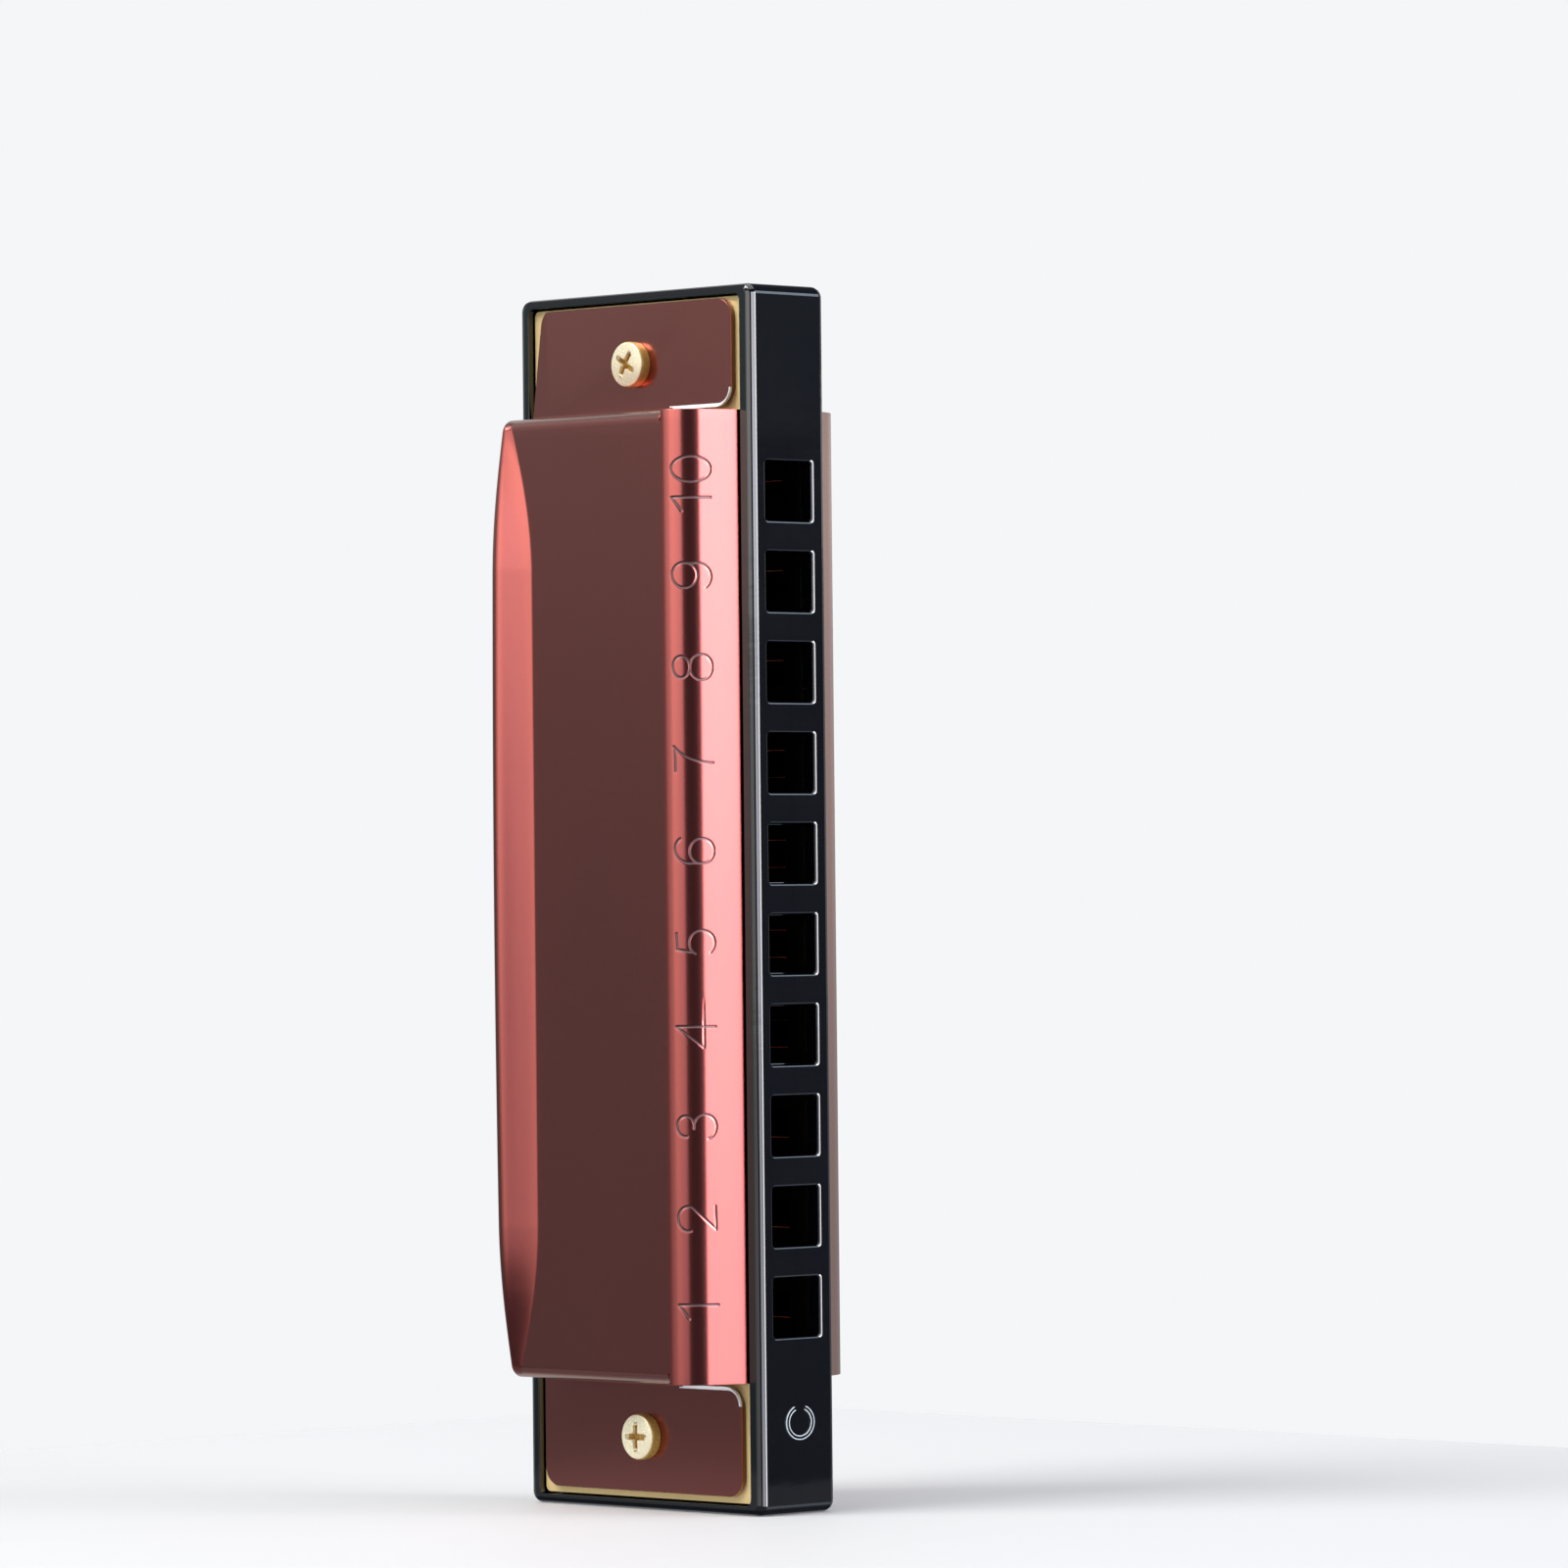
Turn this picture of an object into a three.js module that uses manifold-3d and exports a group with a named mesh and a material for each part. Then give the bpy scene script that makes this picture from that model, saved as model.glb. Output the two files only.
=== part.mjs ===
// Ten-hole diatonic harmonica, in millimetres.
// It stands on its low end. +Z runs from hole 1 to hole 10, -Y is the mouth side,
// -X is the upper (blow) side and +X is the lower (draw) side.
// Each side is built in a side frame: x outwards from the comb's middle plane,
// y from the mouth side rearwards, z along the comb. The upper side is the same
// frame turned over about Y, so its holes count the other way.

import Module from 'manifold-3d';
import * as THREE from 'three';
import { mergeVertices } from 'three/addons/utils/BufferGeometryUtils.js';

// Comb: a moulded bar with ten chambers and a shallow tray on each face
const holeCount = 10;
const holePitch = 7.5;
const combEndLength = 13.35;
const combDepth = 28;
const combThickness = 8.56;
const combEdgeRadius = 0.55;
const combCornerRadius = 1;
const rimFrontWidth = 1.35;
const rimRearWidth = 1.1;
const rimEndWidth = 0.8;
const trayCornerRadius = 0.6;
const mouthWidth = 4.9;
const mouthSkin = 0.1;
const mouthCornerRadius = 0.35;
const mouthChamfer = 0.22;
const chamberRearClearance = 0.9;
const chamberCornerRadius = 0.8;

// Reed plates: flat brass, sunk below the comb's rims
const plateThickness = 0.9;
const plateDrop = 0.63;
const plateMargin = 0.15;
const plateCornerRadius = 0.5;

// Reeds: a thick pad at the rivet and a thin tapered tongue over its slot
const longReedLength = 17;
const shortReedLength = 11.5;
const blowRivetSetback = 2.6;
const drawTipSetback = 2.2;
const reedPadLength = 3;
const reedPadWidth = 2.8;
const reedPadThickness = 0.4;
const reedPadChamfer = 0.45;
const tongueThickness = 0.25;
const tongueRootWidth = 2.2;
const tongueTipWidth = 1.9;
const slotSideClearance = 0.15;
const slotTipClearance = 0.2;
const slotRootOverlap = 0.1;
const reedLift = 0.12;

// Rivets that hold the reeds
const rivetShankRadius = 0.5;
const rivetHoleClearance = 0.2;
const rivetHeadRadius = 0.95;
const rivetHeadHeight = 0.38;
const rivetTailHeight = 0.25;
const rivetHeadGap = 0.12;

// Covers: pressed sheet with a front slope, a flat, a flared rear lip and end tabs
const sheetThickness = 0.5;
const coverHeight = 5.04;
const coverFootClearance = 0.1;
const coverSlopeAngle = THREE.MathUtils.degToRad(70);
const coverBendRadius = 3;
const coverBodyOverrun = 2.7;
const coverRearInset = 3.65;
const lipRise = 1.45;
const lipCrown = 0.42;
const lipDepth = 3.15;
const lipEndDepth = 0.45;
const lipRampLength = 13;
const endBendRadius = 1;
const tabBendRadius = 0.5;
const reliefGap = 0.3;
const tabEndInset = 1.3;
const tabFrontInset = 2.4;
const tabRearInset = 2.4;
const tabCornerRadius = 1.6;
const tabFlare = 0.6;
const tabFlareLength = 2.4;

// Cross-recess pan-head screws through the tabs into the comb
const coverScrewInset = 6.1;
const coverScrewHeadRadius = 2;
const coverScrewHeadHeight = 1.2;
const coverScrewCrownRadius = 1.6;
const coverScrewShankRadius = 1;
const coverScrewBite = 2;
const coverScrewPointLength = 0.5;
const coverScrewHoleClearance = 0.25;
const crossRecessLength = 2.3;
const crossRecessWidth = 0.55;
const crossRecessDepth = 0.7;

// Small pan-head screws that hold each reed plate along its rear edge
const plateScrewWalls = [1, 5, 9];
const plateScrewEdgeDistance = 2;
const plateScrewHeadRadius = 1.3;
const plateScrewHeadHeight = 0.7;
const plateScrewCrownRadius = 0.95;
const plateScrewShankRadius = 0.6;
const plateScrewBite = 1.8;
const plateScrewPointLength = 0.4;
const plateScrewHoleClearance = 0.2;
const driveSlotWidth = 0.35;
const driveSlotLength = 1.5;
const driveSlotDepth = 0.35;

// Fit and cutting
const seatGap = 0.02;
const cutOverrun = 0.4;
const joinOverlap = 0.3;

// Facets
const cornerSteps = 3;
const edgeSteps = 2;
const bendSteps = 5;
const lipRampSteps = 8;
const lipMiddleSteps = 3;
const screwSides = 20;
const smallScrewSides = 12;
const rivetSides = 10;

// The lip's section: how far rearwards and how far outwards, as shares of its depth and rise
const lipDepthShares = [0, 0.18, 0.52, 0.86, 1];
const lipRiseShares = [0, 0.09, 0.45, 0.8, 1];

// Sizes that follow from the ones above
const combLength = holeCount * holePitch + 2 * combEndLength;
const combFront = -combDepth / 2;
const combRear = combDepth / 2;
const combFace = combThickness / 2;
const trayFront = combFront + rimFrontWidth;
const trayRear = combRear - rimRearWidth;
const trayFloor = combFace - plateDrop - plateThickness - seatGap;
const plateInner = trayFloor + seatGap;
const plateOuter = plateInner + plateThickness;
const plateFront = trayFront + plateMargin;
const plateRear = trayRear - plateMargin;
const plateLow = rimEndWidth + plateMargin;
const plateHigh = combLength - plateLow;
const mouthHeight = 2 * (trayFloor - mouthSkin);
const blowRivetLine = plateFront + blowRivetSetback;
const drawTipLine = plateFront + drawTipSetback;
const rivetHoleRadius = rivetShankRadius + rivetHoleClearance;
const coverScrewHoleRadius = coverScrewShankRadius + coverScrewHoleClearance;
const plateScrewHoleRadius = plateScrewShankRadius + plateScrewHoleClearance;
const plateScrewLine = plateRear - plateScrewEdgeDistance;
const tabInner = plateOuter + seatGap;
const tabOuter = tabInner + sheetThickness;
const coverFlat = combFace + coverHeight;
const coverFoot = trayFront + coverFootClearance;
const coverRear = combRear - coverRearInset;
const coverLow = combEndLength - coverBodyOverrun;
const coverHigh = combLength - coverLow;
const slopeTop = coverFlat - coverBendRadius * (1 - Math.cos(coverSlopeAngle));
const slopeRear = coverFoot + (slopeTop - tabInner) / Math.tan(coverSlopeAngle);
const flatFront = slopeRear + coverBendRadius * Math.sin(coverSlopeAngle);

const wasm = await Module();
wasm.setup();

const xAxis = new THREE.Vector3(1, 0, 0);
const yAxis = new THREE.Vector3(0, 1, 0);
const zAxis = new THREE.Vector3(0, 0, 1);
const alongX = new THREE.Matrix4().makeBasis(yAxis, zAxis, xAxis);
const alongY = new THREE.Matrix4().makeBasis(zAxis, xAxis, yAxis);
const alongZ = new THREE.Matrix4();
const revolvedOutwards = new THREE.Matrix4().makeBasis(yAxis, xAxis, zAxis.clone().negate());

// Solids and geometry

/** Turns a closed geometry into a solid that can be joined and cut. */
function toSolid(geometry) {
  const bare = geometry.clone();
  bare.deleteAttribute('normal');
  bare.deleteAttribute('uv');
  const merged = mergeVertices(bare);
  const vertProperties = new Float32Array(merged.getAttribute('position').array);
  const triVerts = new Uint32Array(merged.index.array);
  return new wasm.Manifold(new wasm.Mesh({ numProp: 3, vertProperties, triVerts }));
}

/** Turns a solid back into a geometry. */
function toGeometry(solid) {
  const mesh = solid.getMesh();
  const geometry = new THREE.BufferGeometry();
  geometry.setAttribute('position', new THREE.BufferAttribute(mesh.vertProperties, 3));
  geometry.setIndex(new THREE.BufferAttribute(mesh.triVerts, 1));
  geometry.computeVertexNormals();
  return geometry;
}

/** Joins the added geometries to the base and takes the cut ones out of it. */
function shape(base, added, cut) {
  const joined = added.reduce((solid, piece) => solid.add(toSolid(piece)), toSolid(base));
  const carved = cut.reduce((solid, piece) => solid.subtract(toSolid(piece)), joined);
  return toGeometry(carved);
}

/** Sweeps a flat outline along an axis between two places. */
function sweep(outline, basis, from, to) {
  const options = { depth: to - from, bevelEnabled: false, curveSegments: cornerSteps };
  const geometry = new THREE.ExtrudeGeometry(outline, options);
  geometry.translate(0, 0, from);
  return geometry.applyMatrix4(basis);
}

/** Skins outlines of equal point count, each at its station, and closes both ends. */
function loft(outlines, stations, basis) {
  const count = outlines[0].length;
  const last = outlines.length - 1;
  const positions = outlines.flatMap((outline, ring) =>
    outline.flatMap((point) => [point.x, point.y, stations[ring]]));
  const triangles = [];
  for (let ring = 0; ring < last; ring += 1) {
    for (let step = 0; step < count; step += 1) {
      const here = ring * count + step;
      const next = ring * count + ((step + 1) % count);
      triangles.push(here, next, next + count, here, next + count, here + count);
    }
  }
  for (const [a, b, c] of THREE.ShapeUtils.triangulateShape(outlines[0], [])) {
    triangles.push(a, c, b);
  }
  for (const [a, b, c] of THREE.ShapeUtils.triangulateShape(outlines[last], [])) {
    triangles.push(last * count + a, last * count + b, last * count + c);
  }
  const geometry = new THREE.BufferGeometry();
  geometry.setAttribute('position', new THREE.Float32BufferAttribute(positions, 3));
  geometry.setIndex(triangles);
  return geometry.applyMatrix4(basis);
}

/** A box between two places on each axis. */
function block([x0, x1], [y0, y1], [z0, z1]) {
  const geometry = new THREE.BoxGeometry(x1 - x0, y1 - y0, z1 - z0);
  return geometry.translate((x0 + x1) / 2, (y0 + y1) / 2, (z0 + z1) / 2);
}

/** A round bar along X, as a polygon with the given number of sides. */
function bar(radius, sides, [x0, x1], y, z) {
  const outline = new THREE.Shape();
  for (let side = 0; side < sides; side += 1) {
    const turn = (2 * Math.PI * side) / sides;
    const across = y + radius * Math.cos(turn);
    const along = z + radius * Math.sin(turn);
    if (side === 0) outline.moveTo(across, along);
    else outline.lineTo(across, along);
  }
  return sweep(outline, alongX, x0, x1);
}

/** A solid of revolution about the X axis from points of radius and height. */
function turned(profile, sides) {
  const points = profile.map(([radius, height]) => new THREE.Vector2(radius, height));
  return new THREE.LatheGeometry(points, sides).applyMatrix4(revolvedOutwards);
}

/** A rectangle in the YZ plane with rounded corners. */
function roundedRectangle([y0, y1], [z0, z1], radius) {
  const outline = new THREE.Shape();
  outline.moveTo(y0 + radius, z0);
  outline.absarc(y1 - radius, z0 + radius, radius, -Math.PI / 2, 0);
  outline.absarc(y1 - radius, z1 - radius, radius, 0, Math.PI / 2);
  outline.absarc(y0 + radius, z1 - radius, radius, Math.PI / 2, Math.PI);
  outline.absarc(y0 + radius, z0 + radius, radius, Math.PI, 1.5 * Math.PI);
  return outline;
}

/** The far side of a sheet whose near side follows a path: positive is to the path's left. */
function offsetPath(path, distance) {
  return path.map((point, index) => {
    const before = path[Math.max(index - 1, 0)];
    const after = path[Math.min(index + 1, path.length - 1)];
    const arriving = index === 0 ? after.clone().sub(point) : point.clone().sub(before);
    const leaving = after === point ? arriving.clone() : after.clone().sub(point);
    arriving.normalize();
    leaving.normalize();
    const miter = new THREE.Vector2(-arriving.y - leaving.y, arriving.x + leaving.x);
    return point.clone().addScaledVector(miter, distance / (1 + arriving.dot(leaving)));
  });
}

/** Points along an arc, both ends included. */
function arcPoints(centreX, centreY, radius, from, to, steps) {
  const points = [];
  for (let step = 0; step <= steps; step += 1) {
    const turn = THREE.MathUtils.lerp(from, to, step / steps);
    const x = centreX + radius * Math.cos(turn);
    const y = centreY + radius * Math.sin(turn);
    points.push(new THREE.Vector2(x, y));
  }
  return points;
}

// Layout of the holes and reeds

/** The height of a hole's centre above the comb's low end. */
function holeCentre(hole) {
  return combEndLength + (hole - 0.5) * holePitch;
}

/** The length of a hole's reeds from rivet to tip: the low notes have the long ones. */
function reedLength(hole) {
  const share = (hole - 1) / Math.max(holeCount - 1, 1);
  return THREE.MathUtils.lerp(longReedLength, shortReedLength, share);
}

/** Where a reed's rivet sits and which way its tongue points from there. */
function reedPlace(hole, blows) {
  if (blows) return { rivet: blowRivetLine, towards: 1 };
  return { rivet: drawTipLine + reedLength(hole), towards: -1 };
}

/** The height of a hole in a side's own frame: the upper side is turned over. */
function sideHeight(hole, blows) {
  return blows ? combLength - holeCentre(hole) : holeCentre(hole);
}

/** The heights of the walls that carry the reed plate screws. */
function plateScrewHeights() {
  return plateScrewWalls.map((wall) => combEndLength + wall * holePitch);
}

const holes = Array.from({ length: holeCount }, (_, index) => index + 1);
const coverScrewHeights = [coverScrewInset, combLength - coverScrewInset];

// Comb

/** The moulded bar with its rounded edges, before anything is cut. */
function combBlank() {
  const corners = roundedRectangle([combFront, combRear], [0, combLength], combCornerRadius);
  const geometry = new THREE.ExtrudeGeometry(corners, {
    depth: combThickness - 2 * combEdgeRadius,
    bevelThickness: combEdgeRadius,
    bevelSize: combEdgeRadius,
    bevelOffset: -combEdgeRadius,
    bevelSegments: edgeSteps,
    curveSegments: cornerSteps,
  });
  geometry.translate(0, 0, combEdgeRadius - combFace);
  return geometry.applyMatrix4(alongX);
}

/** The tray that takes a reed plate, on one face. */
function trayCut(side) {
  const ends = [rimEndWidth, combLength - rimEndWidth];
  const outline = roundedRectangle([trayFront, trayRear], ends, trayCornerRadius);
  const outside = side * (combFace + cutOverrun);
  const floor = side * trayFloor;
  return sweep(outline, alongX, Math.min(outside, floor), Math.max(outside, floor));
}

/** One air chamber, open on both faces of the comb, with rounded rear corners. */
function chamberCut(hole) {
  const low = holeCentre(hole) - mouthWidth / 2;
  const high = holeCentre(hole) + mouthWidth / 2;
  const rear = blowRivetLine + reedLength(hole) + chamberRearClearance;
  const radius = chamberCornerRadius;
  const outline = new THREE.Shape();
  outline.moveTo(trayFront, low);
  outline.lineTo(rear - radius, low);
  outline.absarc(rear - radius, low + radius, radius, -Math.PI / 2, 0);
  outline.absarc(rear - radius, high - radius, radius, 0, Math.PI / 2);
  outline.lineTo(trayFront, high);
  return sweep(outline, alongX, -combFace, combFace);
}

/** A mouth hole's outline with its round corners, grown all round. */
function mouthOutline(hole, growth) {
  const quarter = Math.PI / 2;
  const radius = mouthCornerRadius + growth;
  const along = mouthWidth / 2 - mouthCornerRadius;
  const across = mouthHeight / 2 - mouthCornerRadius;
  const corners = [[-along, -across], [along, -across], [along, across], [-along, across]];
  return corners.flatMap(([z, x], corner) => {
    const from = (corner + 2) * quarter;
    return arcPoints(holeCentre(hole) + z, x, radius, from, from + quarter, cornerSteps);
  });
}

/** One mouth hole through the front rim, with its chamfered edge. */
function mouthCut(hole) {
  const outlines = [mouthChamfer + cutOverrun, 0, 0].map((growth) => mouthOutline(hole, growth));
  const stations = [combFront - cutOverrun, combFront + mouthChamfer, trayFront + cutOverrun];
  return loft(outlines, stations, alongY);
}

/** The pilot holes for both kinds of screw, right through the core. */
function pilotCuts() {
  const through = [-combFace, combFace];
  const covers = coverScrewHeights.map((height) =>
    bar(coverScrewHoleRadius, smallScrewSides, through, 0, height));
  const plates = plateScrewHeights().map((height) =>
    bar(plateScrewHoleRadius, smallScrewSides, through, plateScrewLine, height));
  return [...covers, ...plates];
}

function combGeometry() {
  const cuts = [trayCut(-1), trayCut(1), ...pilotCuts()];
  for (const hole of holes) cuts.push(chamberCut(hole), mouthCut(hole));
  return shape(combBlank(), [], cuts);
}

// Reed plates

/** The slot that a reed swings through. */
function slotCut(hole, blows) {
  const { rivet, towards } = reedPlace(hole, blows);
  const root = rivet + towards * (reedPadLength / 2 - slotRootOverlap);
  const tip = rivet + towards * (reedLength(hole) + slotTipClearance);
  const half = tongueRootWidth / 2 + slotSideClearance;
  const height = sideHeight(hole, blows);
  const through = [plateInner - cutOverrun, plateOuter + cutOverrun];
  return block(through, [Math.min(root, tip), Math.max(root, tip)], [height - half, height + half]);
}

function reedPlateGeometry(blows) {
  const through = [plateInner - cutOverrun, plateOuter + cutOverrun];
  const outline = roundedRectangle([plateFront, plateRear], [plateLow, plateHigh], plateCornerRadius);
  const cuts = coverScrewHeights.map((height) =>
    bar(coverScrewHoleRadius, smallScrewSides, through, 0, height));
  for (const height of plateScrewHeights()) {
    cuts.push(bar(plateScrewHoleRadius, smallScrewSides, through, plateScrewLine, height));
  }
  for (const hole of holes) {
    const { rivet } = reedPlace(hole, blows);
    cuts.push(slotCut(hole, blows));
    cuts.push(bar(rivetHoleRadius, rivetSides, through, rivet, sideHeight(hole, blows)));
  }
  return shape(sweep(outline, alongX, plateInner, plateOuter), [], cuts);
}

// Reeds and rivets, each built about the rivet line on the reed's foot

/** A reed with its foot at x = 0, its rivet at the origin and its tongue along +Y. */
function reedGeometry(hole) {
  const padHalf = reedPadLength / 2;
  const wide = reedPadWidth / 2;
  const chamfer = reedPadChamfer;
  const pad = new THREE.Shape([
    new THREE.Vector2(-padHalf + chamfer, -wide),
    new THREE.Vector2(padHalf - chamfer, -wide),
    new THREE.Vector2(padHalf, chamfer - wide),
    new THREE.Vector2(padHalf, wide - chamfer),
    new THREE.Vector2(padHalf - chamfer, wide),
    new THREE.Vector2(-padHalf + chamfer, wide),
    new THREE.Vector2(-padHalf, wide - chamfer),
    new THREE.Vector2(-padHalf, chamfer - wide),
  ]);
  const tongue = new THREE.Shape([
    new THREE.Vector2(0, -tongueRootWidth / 2),
    new THREE.Vector2(reedLength(hole), -tongueTipWidth / 2),
    new THREE.Vector2(reedLength(hole), tongueTipWidth / 2),
    new THREE.Vector2(0, tongueRootWidth / 2),
  ]);
  const through = [-cutOverrun, reedPadThickness + cutOverrun];
  return shape(
    sweep(pad, alongX, 0, reedPadThickness),
    [sweep(tongue, alongX, 0, tongueThickness)],
    [bar(rivetHoleRadius, rivetSides, through, 0, 0)],
  );
}

/** A rivet with x = 0 at the plate's face under the reed and its head outwards. */
function rivetGeometry() {
  const tailInner = -plateThickness - seatGap;
  const tailOuter = tailInner - rivetTailHeight;
  const headInner = reedLift + reedPadThickness + rivetHeadGap;
  const headOuter = headInner + rivetHeadHeight;
  const edge = rivetHeadRadius - rivetTailHeight;
  const blank = turned([
    [0, tailOuter],
    [edge, tailOuter],
    [rivetHeadRadius, tailInner],
    [rivetShankRadius, tailInner],
    [rivetShankRadius, headInner],
    [rivetHeadRadius, headInner],
    [edge, headOuter],
    [0, headOuter],
  ], rivetSides);
  return shape(blank, [], []);
}

// Screws, each built with x = 0 under its head and its head outwards

/** A pan-head screw before its drive is cut. */
function screwBlank(head, shank, sides) {
  return turned([
    [0, -shank.length],
    [shank.radius - shank.point / 2, -shank.length],
    [shank.radius, shank.point - shank.length],
    [shank.radius, 0],
    [head.radius, 0],
    [head.radius, head.height / 2],
    [(head.radius + head.crown) / 2, head.height - (head.radius - head.crown) / 2],
    [head.crown, head.height],
    [0, head.height],
  ], sides);
}

function coverScrewGeometry() {
  const head = {
    radius: coverScrewHeadRadius,
    height: coverScrewHeadHeight,
    crown: coverScrewCrownRadius,
  };
  const shank = {
    radius: coverScrewShankRadius,
    length: seatGap + sheetThickness + seatGap + plateThickness + seatGap + coverScrewBite,
    point: coverScrewPointLength,
  };
  const depth = [head.height - crossRecessDepth, head.height + cutOverrun];
  const long = [-crossRecessLength / 2, crossRecessLength / 2];
  const narrow = [-crossRecessWidth / 2, crossRecessWidth / 2];
  const cross = [block(depth, long, narrow), block(depth, narrow, long)];
  return shape(screwBlank(head, shank, screwSides), [], cross);
}

function plateScrewGeometry() {
  const head = {
    radius: plateScrewHeadRadius,
    height: plateScrewHeadHeight,
    crown: plateScrewCrownRadius,
  };
  const shank = {
    radius: plateScrewShankRadius,
    length: seatGap + plateThickness + seatGap + plateScrewBite,
    point: plateScrewPointLength,
  };
  const depth = [head.height - driveSlotDepth, head.height + cutOverrun];
  const long = [-driveSlotLength / 2, driveSlotLength / 2];
  const narrow = [-driveSlotWidth / 2, driveSlotWidth / 2];
  return shape(screwBlank(head, shank, smallScrewSides), [], [block(depth, long, narrow)]);
}

// Covers

/** How far the lip has opened at a distance from where it starts, from 0 to 1. */
function ramp(distance, length) {
  const share = THREE.MathUtils.clamp(distance / length, 0, 1);
  return Math.sin((Math.PI / 2) * share);
}

/** The section of the pressed sheet at a distance from the cover's nearest end. */
function coverSection(distance, half) {
  const opened = ramp(distance, lipRampLength);
  const rise = lipRise * opened + lipCrown * ramp(distance, half);
  const depth = THREE.MathUtils.lerp(lipEndDepth, lipDepth, opened);
  const bend = arcPoints(
    coverFlat - coverBendRadius, flatFront, coverBendRadius, -coverSlopeAngle, 0, bendSteps);
  const lip = lipDepthShares.map((share, index) => new THREE.Vector2(
    coverFlat + rise * lipRiseShares[index],
    coverRear - depth * (1 - share),
  ));
  const outside = [new THREE.Vector2(tabInner, coverFoot), ...bend, ...lip];
  const inside = offsetPath(outside, sheetThickness);
  inside[0].set(tabInner, coverFoot + sheetThickness / Math.sin(coverSlopeAngle));
  return [...outside, ...inside.reverse()];
}

/** The long channel of the cover: slope, bend, flat and lip, between its straight-cut ends. */
function coverChannel() {
  const half = combLength / 2 - coverLow;
  const distances = [];
  for (let step = 0; step <= lipRampSteps; step += 1) {
    distances.push((lipRampLength * step) / lipRampSteps);
  }
  for (let step = 1; step <= lipMiddleSteps; step += 1) {
    distances.push(THREE.MathUtils.lerp(lipRampLength, half, step / lipMiddleSteps));
  }
  const rising = distances.map((distance) => coverLow + distance);
  const falling = rising.slice(0, -1).reverse().map((station) => combLength - station);
  const stations = [...rising, ...falling];
  const outlines = stations.map((station) => {
    const fromEnd = Math.min(station, combLength - station);
    return coverSection(fromEnd - coverLow, half);
  });
  return loft(outlines, stations, alongZ);
}

/** What is cut from the channel's flat at an end, where the sheet turns down instead. */
function cornerCut(end, outwards) {
  const places = [end - outwards * endBendRadius, end + outwards * cutOverrun];
  const across = [tabInner, coverFlat + lipRise];
  return block(across, [flatFront, coverRear + cutOverrun], [Math.min(...places), Math.max(...places)]);
}

/** The sheet that turns down from the flat and out again into the tab. */
function endWall(end, outwards) {
  const quarter = Math.PI / 2;
  const upper = arcPoints(
    -endBendRadius, coverFlat - endBendRadius, endBendRadius, quarter, 0, cornerSteps);
  const lower = arcPoints(
    tabBendRadius, tabOuter + tabBendRadius, tabBendRadius, 2 * quarter, 3 * quarter, cornerSteps);
  const outside = [
    new THREE.Vector2(-endBendRadius - joinOverlap, coverFlat),
    ...upper,
    ...lower,
    new THREE.Vector2(tabBendRadius + tabCornerRadius, tabOuter),
  ];
  const section = [...outside, ...offsetPath(outside, -sheetThickness).reverse()];
  const outline = section.map((point) => new THREE.Vector2(end + outwards * point.x, point.y));
  return sweep(new THREE.Shape(outline), alongY, flatFront + reliefGap, coverRear);
}

/** The flat tab: round corners, and a rear edge that flares where it meets the body. */
function tab(end, outwards) {
  const front = combFront + tabFrontInset;
  const rear = combRear - tabRearInset;
  const radius = tabCornerRadius;
  const far = outwards > 0 ? combLength - tabEndInset - end : end - tabEndInset;
  const outline = new THREE.Shape();
  outline.moveTo(front + radius, 0);
  outline.absarc(front + radius, radius, radius, -Math.PI / 2, Math.PI, true);
  outline.absarc(front + radius, far - radius, radius, Math.PI, Math.PI / 2, true);
  outline.absarc(rear - radius, far - radius, radius, Math.PI / 2, 0, true);
  outline.lineTo(rear, tabFlareLength);
  outline.quadraticCurveTo(rear, 0, rear + tabFlare, 0);
  const points = outline.getPoints(cornerSteps);
  const placed = points.map((point) => new THREE.Vector2(point.x, end + outwards * point.y));
  return sweep(new THREE.Shape(placed), alongX, tabInner, tabOuter);
}

function coverGeometry() {
  const ends = [[coverLow, -1], [coverHigh, 1]];
  const corners = ends.map(([end, outwards]) => cornerCut(end, outwards));
  const channel = shape(coverChannel(), [], corners);
  const added = ends.flatMap(([end, outwards]) => [endWall(end, outwards), tab(end, outwards)]);
  const through = [tabInner - cutOverrun, tabOuter + cutOverrun];
  const cuts = coverScrewHeights.map((height) =>
    bar(coverScrewHoleRadius, smallScrewSides, through, 0, height));
  return shape(channel, added, cuts);
}

// Materials

function finish(color, roughness, metalness) {
  return new THREE.MeshStandardMaterial({ color, roughness, metalness });
}

const finishes = {
  comb: () => finish(0x14181c, 0.18, 0),
  cover: () => finish(0x8a4a46, 0.35, 0.9),
  plate: () => finish(0xd8b070, 0.35, 1),
  reed: () => finish(0xe2c186, 0.3, 1),
  rivet: () => finish(0xcfa865, 0.35, 1),
  coverScrew: () => finish(0xe8c886, 0.2, 1),
  plateScrew: () => finish(0xc9c6bd, 0.3, 1),
};

/** A named mesh with its own material, placed in its group. */
function piece(name, geometry, material, x, y, z) {
  const mesh = new THREE.Mesh(geometry, material);
  mesh.name = name;
  mesh.position.set(x, y, z);
  return mesh;
}

// Assembly

/** A reed on its plate: blow reeds hang inside the chambers, draw reeds stand outside. */
function reedPiece(hole, blows) {
  const { rivet } = reedPlace(hole, blows);
  const name = `${blows ? 'blow' : 'draw'}_reed_${hole}`;
  const face = blows ? plateInner - reedLift : plateOuter + reedLift;
  const mesh = piece(name, reedGeometry(hole), finishes.reed(), face, rivet, sideHeight(hole, blows));
  if (blows) mesh.rotation.y = Math.PI;
  else mesh.rotation.x = Math.PI;
  return mesh;
}

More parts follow.
